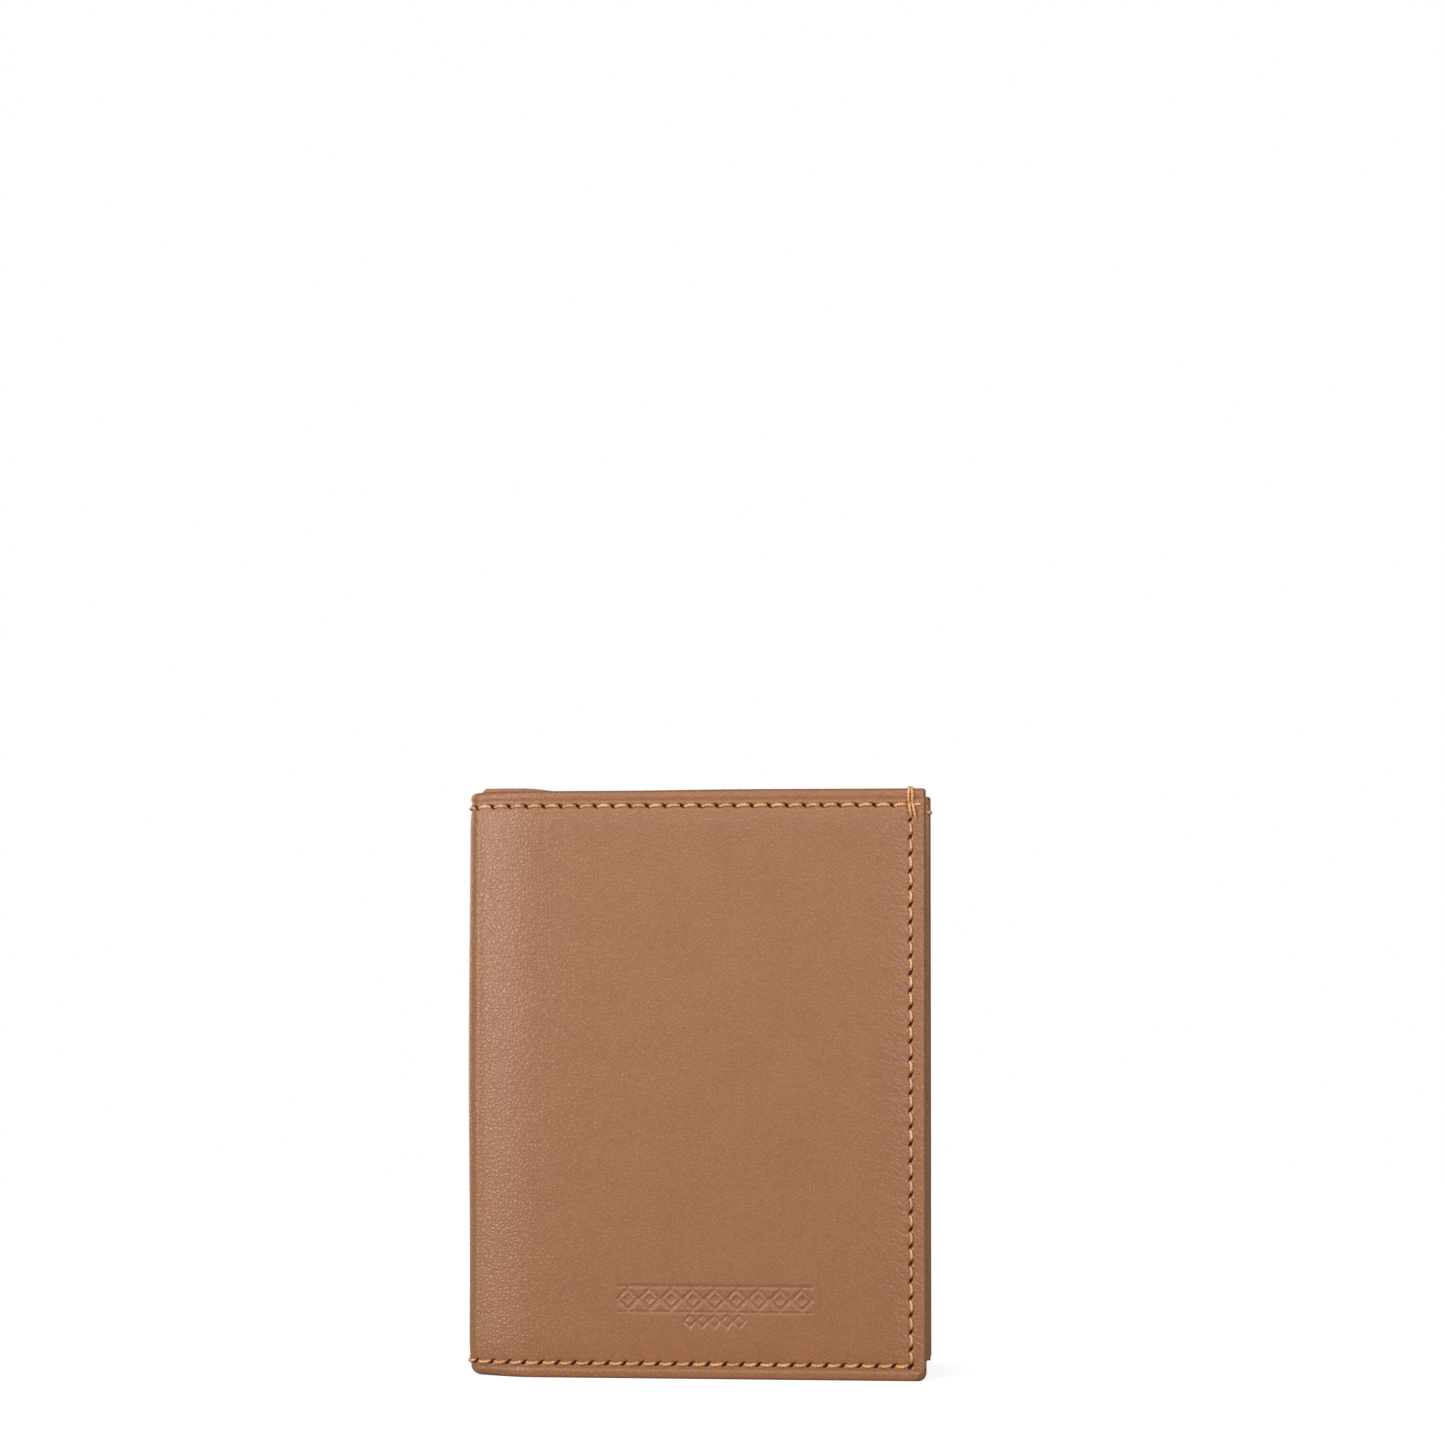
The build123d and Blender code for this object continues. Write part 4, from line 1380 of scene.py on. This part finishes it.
def cloth_material():
    """Brown twill."""
    look = bpy.context.scene.wallet_look
    material, tree, shader = new_material("Lining twill")
    skin, _, _ = skin_parts(tree)
    ribs = tree.add("ShaderNodeTexWave", wave_type="BANDS", bands_direction="DIAGONAL",
                    inputs={"Vector": skin, "Scale": 0.62, "Distortion": 0.6, "Detail": 2.0,
                            "Detail Scale": 1.5})
    threads = tree.add("ShaderNodeTexNoise", inputs={"Vector": skin, "Scale": 3.0, "Detail": 3.0})
    height = tree.math("ADD", ribs.outputs["Factor" if "Factor" in ribs.outputs else "Fac"],
                       tree.math("MULTIPLY", threads.outputs[0], 0.6))
    dark = tuple(0.55 * c for c in look.cloth)
    tree.put(shader.inputs["Base Color"],
             blend_colour(tree, ramp(tree, height, 0.3, 1.2), dark, tuple(look.cloth)))
    bump = tree.add("ShaderNodeBump", inputs={"Height": height, "Distance": 0.05 * MM})
    tree.put(shader.inputs["Normal"], bump)
    shader.inputs["Roughness"].default_value = 0.8
    shader.inputs["Sheen Weight"].default_value = 0.3
    return material


def thread_material():
    """Golden waxed thread."""
    look = bpy.context.scene.wallet_look
    material, tree, shader = new_material("Waxed thread")
    place = tree.add("ShaderNodeTexCoord")
    fibres = tree.add("ShaderNodeTexNoise", inputs={
        "Vector": place.outputs["Object"], "Scale": 4200.0, "Detail": 3.0})
    uneven = tree.add("ShaderNodeTexNoise", inputs={
        "Vector": place.outputs["Object"], "Scale": 260.0, "Detail": 1.0})
    dark = tuple(k * c for k, c in zip((0.5, 0.4, 0.3), look.thread))
    amount = tree.math("ADD", tree.math("MULTIPLY", fibres.outputs[0], 0.6),
                       tree.math("MULTIPLY", uneven.outputs[0], 0.6))
    tree.put(shader.inputs["Base Color"],
             blend_colour(tree, ramp(tree, amount, 0.3, 0.85), dark, tuple(look.thread)))
    bump = tree.add("ShaderNodeBump", inputs={"Height": fibres.outputs[0], "Distance": 0.03 * MM})
    tree.put(shader.inputs["Normal"], bump)
    shader.inputs["Roughness"].default_value = 0.3
    shader.inputs["Specular IOR Level"].default_value = 0.8
    return material


def film_material():
    """Clear film with faint scuffs."""
    material, tree, shader = new_material("Clear film")
    skin, _, _ = skin_parts(tree)
    scuffs = tree.add("ShaderNodeTexNoise", inputs={"Vector": skin, "Scale": 0.25, "Detail": 6.0})
    tree.put(shader.inputs["Roughness"], ramp(tree, scuffs.outputs[0], 0.35, 0.8, 0.06, 0.3))
    shader.inputs["Base Color"].default_value = (0.97, 0.98, 0.98, 1.0)
    shader.inputs["Transmission Weight"].default_value = 1.0
    shader.inputs["IOR"].default_value = 1.38
    return material


def board_material():
    """Pale fibre board."""
    look = bpy.context.scene.wallet_look
    material, tree, shader = new_material("Fibre board")
    place = tree.add("ShaderNodeTexCoord")
    fibres = tree.add("ShaderNodeTexNoise", inputs={
        "Vector": place.outputs["Object"], "Scale": 900.0, "Detail": 6.0})
    dark = tuple(0.75 * c for c in look.board)
    tree.put(shader.inputs["Base Color"],
             blend_colour(tree, ramp(tree, fibres.outputs[0], 0.35, 0.7), dark, tuple(look.board)))
    shader.inputs["Roughness"].default_value = 0.85
    return material


def shared(make, name):
    """A material that several pieces share, made once."""
    return bpy.data.materials.get(name) or make()


def dress(piece, material):
    """Give a piece its material."""
    piece.data.materials.clear()
    piece.data.materials.append(material)


# ---- Stage ----------------------------------------------------------------------------------
def aim(thing, target):
    """Turn a light or camera towards a point."""
    thing.rotation_euler = (Vector(target) - thing.location).to_track_quat("-Z", "Y").to_euler()


def add_softbox(name, place, wide, tall, strength, target=(0.0, 0.0, 0.06)):
    """A softbox whose strength is the light it gives a white card at the target."""
    data = bpy.data.lights.new(name, "AREA")
    data.shape, data.size, data.size_y = "RECTANGLE", wide, tall
    lamp = bpy.data.objects.new(name, data)
    bpy.context.scene.collection.objects.link(lamp)
    lamp.location = place
    aim(lamp, target)
    data.energy = strength * math.pi**2 * (Vector(place) - Vector(target)).length ** 2


def build_stage():
    """Floor, white surroundings, softboxes and camera."""
    scene = bpy.context.scene
    stage = scene.wallet_stage
    reach = 0.55
    corners = [(-reach, -reach, 0), (reach, -reach, 0), (reach, reach, 0), (-reach, reach, 0)]
    floor = make_object("floor", corners, [[0, 1, 2, 3]])
    material, tree, shader = new_material("Studio floor")
    place = tree.add("ShaderNodeTexCoord")
    faint = tree.add("ShaderNodeTexNoise", inputs={"Vector": place.outputs["Object"], "Scale": 3.0})
    tree.put(shader.inputs["Base Color"], blend_colour(
        tree, faint.outputs[0], (0.56, 0.56, 0.56), (0.57, 0.57, 0.57)))
    shader.inputs["Roughness"].default_value = 1.0
    shader.inputs["Specular IOR Level"].default_value = 0.0
    seen = tree.add("ShaderNodeLightPath").outputs["Is Camera Ray"]
    glow = tree.math("MULTIPLY", seen, stage.floor_glow)
    tree.put(shader.inputs["Emission Strength"], glow)
    shader.inputs["Emission Color"].default_value = (1.0, 1.0, 1.0, 1.0)
    floor.data.materials.append(material)

    world = bpy.data.worlds.new("Studio")
    scene.world = world
    world.use_nodes = True
    world.node_tree.nodes.clear()
    tree = Tree(world.node_tree)
    seen = tree.add("ShaderNodeLightPath").outputs["Is Camera Ray"]
    strength = tree.math("ADD", tree.math("MULTIPLY", seen, 1.0 - stage.dome), stage.dome)
    light = tree.add("ShaderNodeBackground", (1.0, 1.0, 1.0, 1.0), strength)
    tree.add("ShaderNodeOutputWorld", light)
    for name, place, wide, tall, strength in (
        ("Key softbox", (-0.8, -0.97, 0.33), 0.46, 1.0, stage.key),
        ("Side softbox", (0.36, -1.1, 0.3), 0.35, 0.8, stage.side),
        ("Front softbox", (0.1, -1.15, 0.85), 1.2, 1.2, stage.front),
        ("Rim panel", (-0.6, 1.0, 0.4), 1.0, 1.0, stage.rim),
    ):
        add_softbox(name, place, wide, tall, strength)

    data = bpy.data.cameras.new("Camera")
    data.sensor_width, data.lens, data.shift_y = 36.0, stage.lens, stage.shift
    data.clip_start, data.clip_end = 0.01, 50.0
    data.dof.use_dof = False
    camera = bpy.data.objects.new("Camera", data)
    scene.collection.objects.link(camera)
    camera.location = (-stage.camera_side, -stage.camera_away, stage.camera_height)
    camera.rotation_euler = (math.pi / 2 + stage.camera_pitch, 0.0, -stage.camera_turn)
    scene.camera = camera
    scene.view_settings.view_transform = "Standard"


# ---- Operators ------------------------------------------------------------------------------
class WALLET_OT_cover(bpy.types.Operator):
    """Build both leather halves of the cover, which bend at the spine"""

    bl_idname, bl_label = "wallet.cover", "Cover leather"

    def execute(self, context):
        for side, nodes in ((FRONT, ["cover_front"]), (BACK, ["cover_back", "cover_spine"])):
            piece = build_cover(side)
            dress(piece, cover_material(side))
            bend(piece, side)
            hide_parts(*nodes)
        return {"FINISHED"}


class WALLET_OT_lining(bpy.types.Operator):
    """Build the cloth lining of both halves"""

    bl_idname, bl_label = "wallet.lining", "Lining cloth"

    def execute(self, context):
        for side, nodes in ((FRONT, ["lining_front"]), (BACK, ["lining_back", "lining_spine"])):
            piece = build_lining(side)
            dress(piece, shared(cloth_material, "Lining twill"))
            bend(piece, side)
            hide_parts(*nodes)
        return {"FINISHED"}


class WALLET_OT_divider(bpy.types.Operator):
    """Build the leather wall of the note compartment"""

    bl_idname, bl_label = "wallet.divider", "Note divider"

    def execute(self, context):
        for side in (FRONT, BACK):
            piece = build_divider(side)
            dress(piece, shared(inner_material, "Inner leather"))
            bend(piece, side)
            nodes = [f"note_divider_{HALVES[side]}"] + ["note_divider_spine"] * (side == BACK)
            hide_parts(*nodes)
        return {"FINISHED"}


class WALLET_OT_pockets(bpy.types.Operator):
    """Build the backing panels and the stepped card pockets"""

    bl_idname, bl_label = "wallet.pockets", "Card pockets"

    def execute(self, context):
        for side in (FRONT, BACK):
            for node, piece in build_leaves(side).items():
                dress(piece, shared(inner_material, "Inner leather"))
                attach(piece, f"{HALVES[side]}_half")
                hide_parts(node)
        return {"FINISHED"}


class WALLET_OT_window(bpy.types.Operator):
    """Build the identity window's frame and film"""

    bl_idname, bl_label = "wallet.window", "Identity window"

    def execute(self, context):
        frame_piece, film = build_window_frame(), build_window_film()
        dress(frame_piece, shared(inner_material, "Inner leather"))
        dress(film, film_material())
        for piece, node in ((frame_piece, "window_frame"), (film, "window_film")):
            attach(piece, "back_half")
            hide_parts(node)
        return {"FINISHED"}


class WALLET_OT_stitches(bpy.types.Operator):
    """Sew the outer seams, the doubled back-tack, and the pocket seams"""

    bl_idname, bl_label = "wallet.stitches", "Stitching"

    def execute(self, context):
        thread = shared(thread_material, "Waxed thread")
        for side in (FRONT, BACK):
            half = HALVES[side]
            outer = stitch_row(f"outer_stitches_{half}", outer_stations(side), thread)
            inner = stitch_row(f"inner_stitches_{half}", inner_stations(side), thread)
            bend(outer, side)
            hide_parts(f"outer_seam_{half}", *["outer_seam_spine"] * (side == BACK))
            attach(inner, f"{half}_half")
            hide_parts(f"inner_seam_{half}")
        for name, paths, body in (("back_tack", back_tack_paths(), "front_half"),
                                  ("back_edge_wrap", back_wrap_paths(), "back_half")):
            piece = build_threads(name, paths, thread)
            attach(piece, body)
        return {"FINISHED"}


class WALLET_OT_boards(bpy.types.Operator):
    """Finish the boards between cover and lining"""

    bl_idname, bl_label = "wallet.boards", "Stiffening boards"

    def execute(self, context):
        for half in HALVES.values():
            board = frame["nodes"][f"stiffener_{half}"]
            dress(board, shared(board_material, "Fibre board"))
        return {"FINISHED"}


class WALLET_OT_stage(bpy.types.Operator):
    """Set up the floor, the light and the camera"""

    bl_idname, bl_label = "wallet.stage", "Studio"

    def execute(self, context):
        build_stage()
        return {"FINISHED"}


class WALLET_PT_build(bpy.types.Panel):
    """Sizes and build steps of the wallet"""

    bl_label, bl_idname = "Bifold wallet", "WALLET_PT_build"
    bl_space_type, bl_region_type, bl_category = "VIEW_3D", "UI", "Wallet"

    def draw(self, context):
        for key, group in GROUPS.items():
            box = self.layout.box()
            box.label(text=key.replace("wallet_", "").capitalize())
            for name in group.__annotations__:
                box.prop(getattr(context.scene, key), name)
        for operator in OPERATORS:
            self.layout.operator(operator.bl_idname)


GROUPS = {
    "wallet_body": WalletBody, "wallet_layers": WalletLayers, "wallet_pockets": WalletPockets,
    "wallet_seams": WalletSeams, "wallet_look": WalletLook, "wallet_stage": WalletStage,
}
OPERATORS = (
    WALLET_OT_cover, WALLET_OT_lining, WALLET_OT_divider, WALLET_OT_pockets, WALLET_OT_window,
    WALLET_OT_stitches, WALLET_OT_boards, WALLET_OT_stage,
)


def register():
    """Register the add-on's classes and its settings on the scene."""
    for kind in (*GROUPS.values(), *OPERATORS, WALLET_PT_build):
        bpy.utils.register_class(kind)
    for key, group in GROUPS.items():
        setattr(bpy.types.Scene, key, PointerProperty(type=group))


def unregister():
    """Undo register."""
    for key in GROUPS:
        delattr(bpy.types.Scene, key)
    for kind in (WALLET_PT_build, *reversed(OPERATORS), *reversed(GROUPS.values())):
        bpy.utils.unregister_class(kind)


def main():
    """Build every piece and the stage."""
    register()
    for step in ("cover", "lining", "divider", "pockets", "window", "stitches", "boards", "stage"):
        getattr(bpy.ops.wallet, step)()


if __name__ == "__main__":
    main()
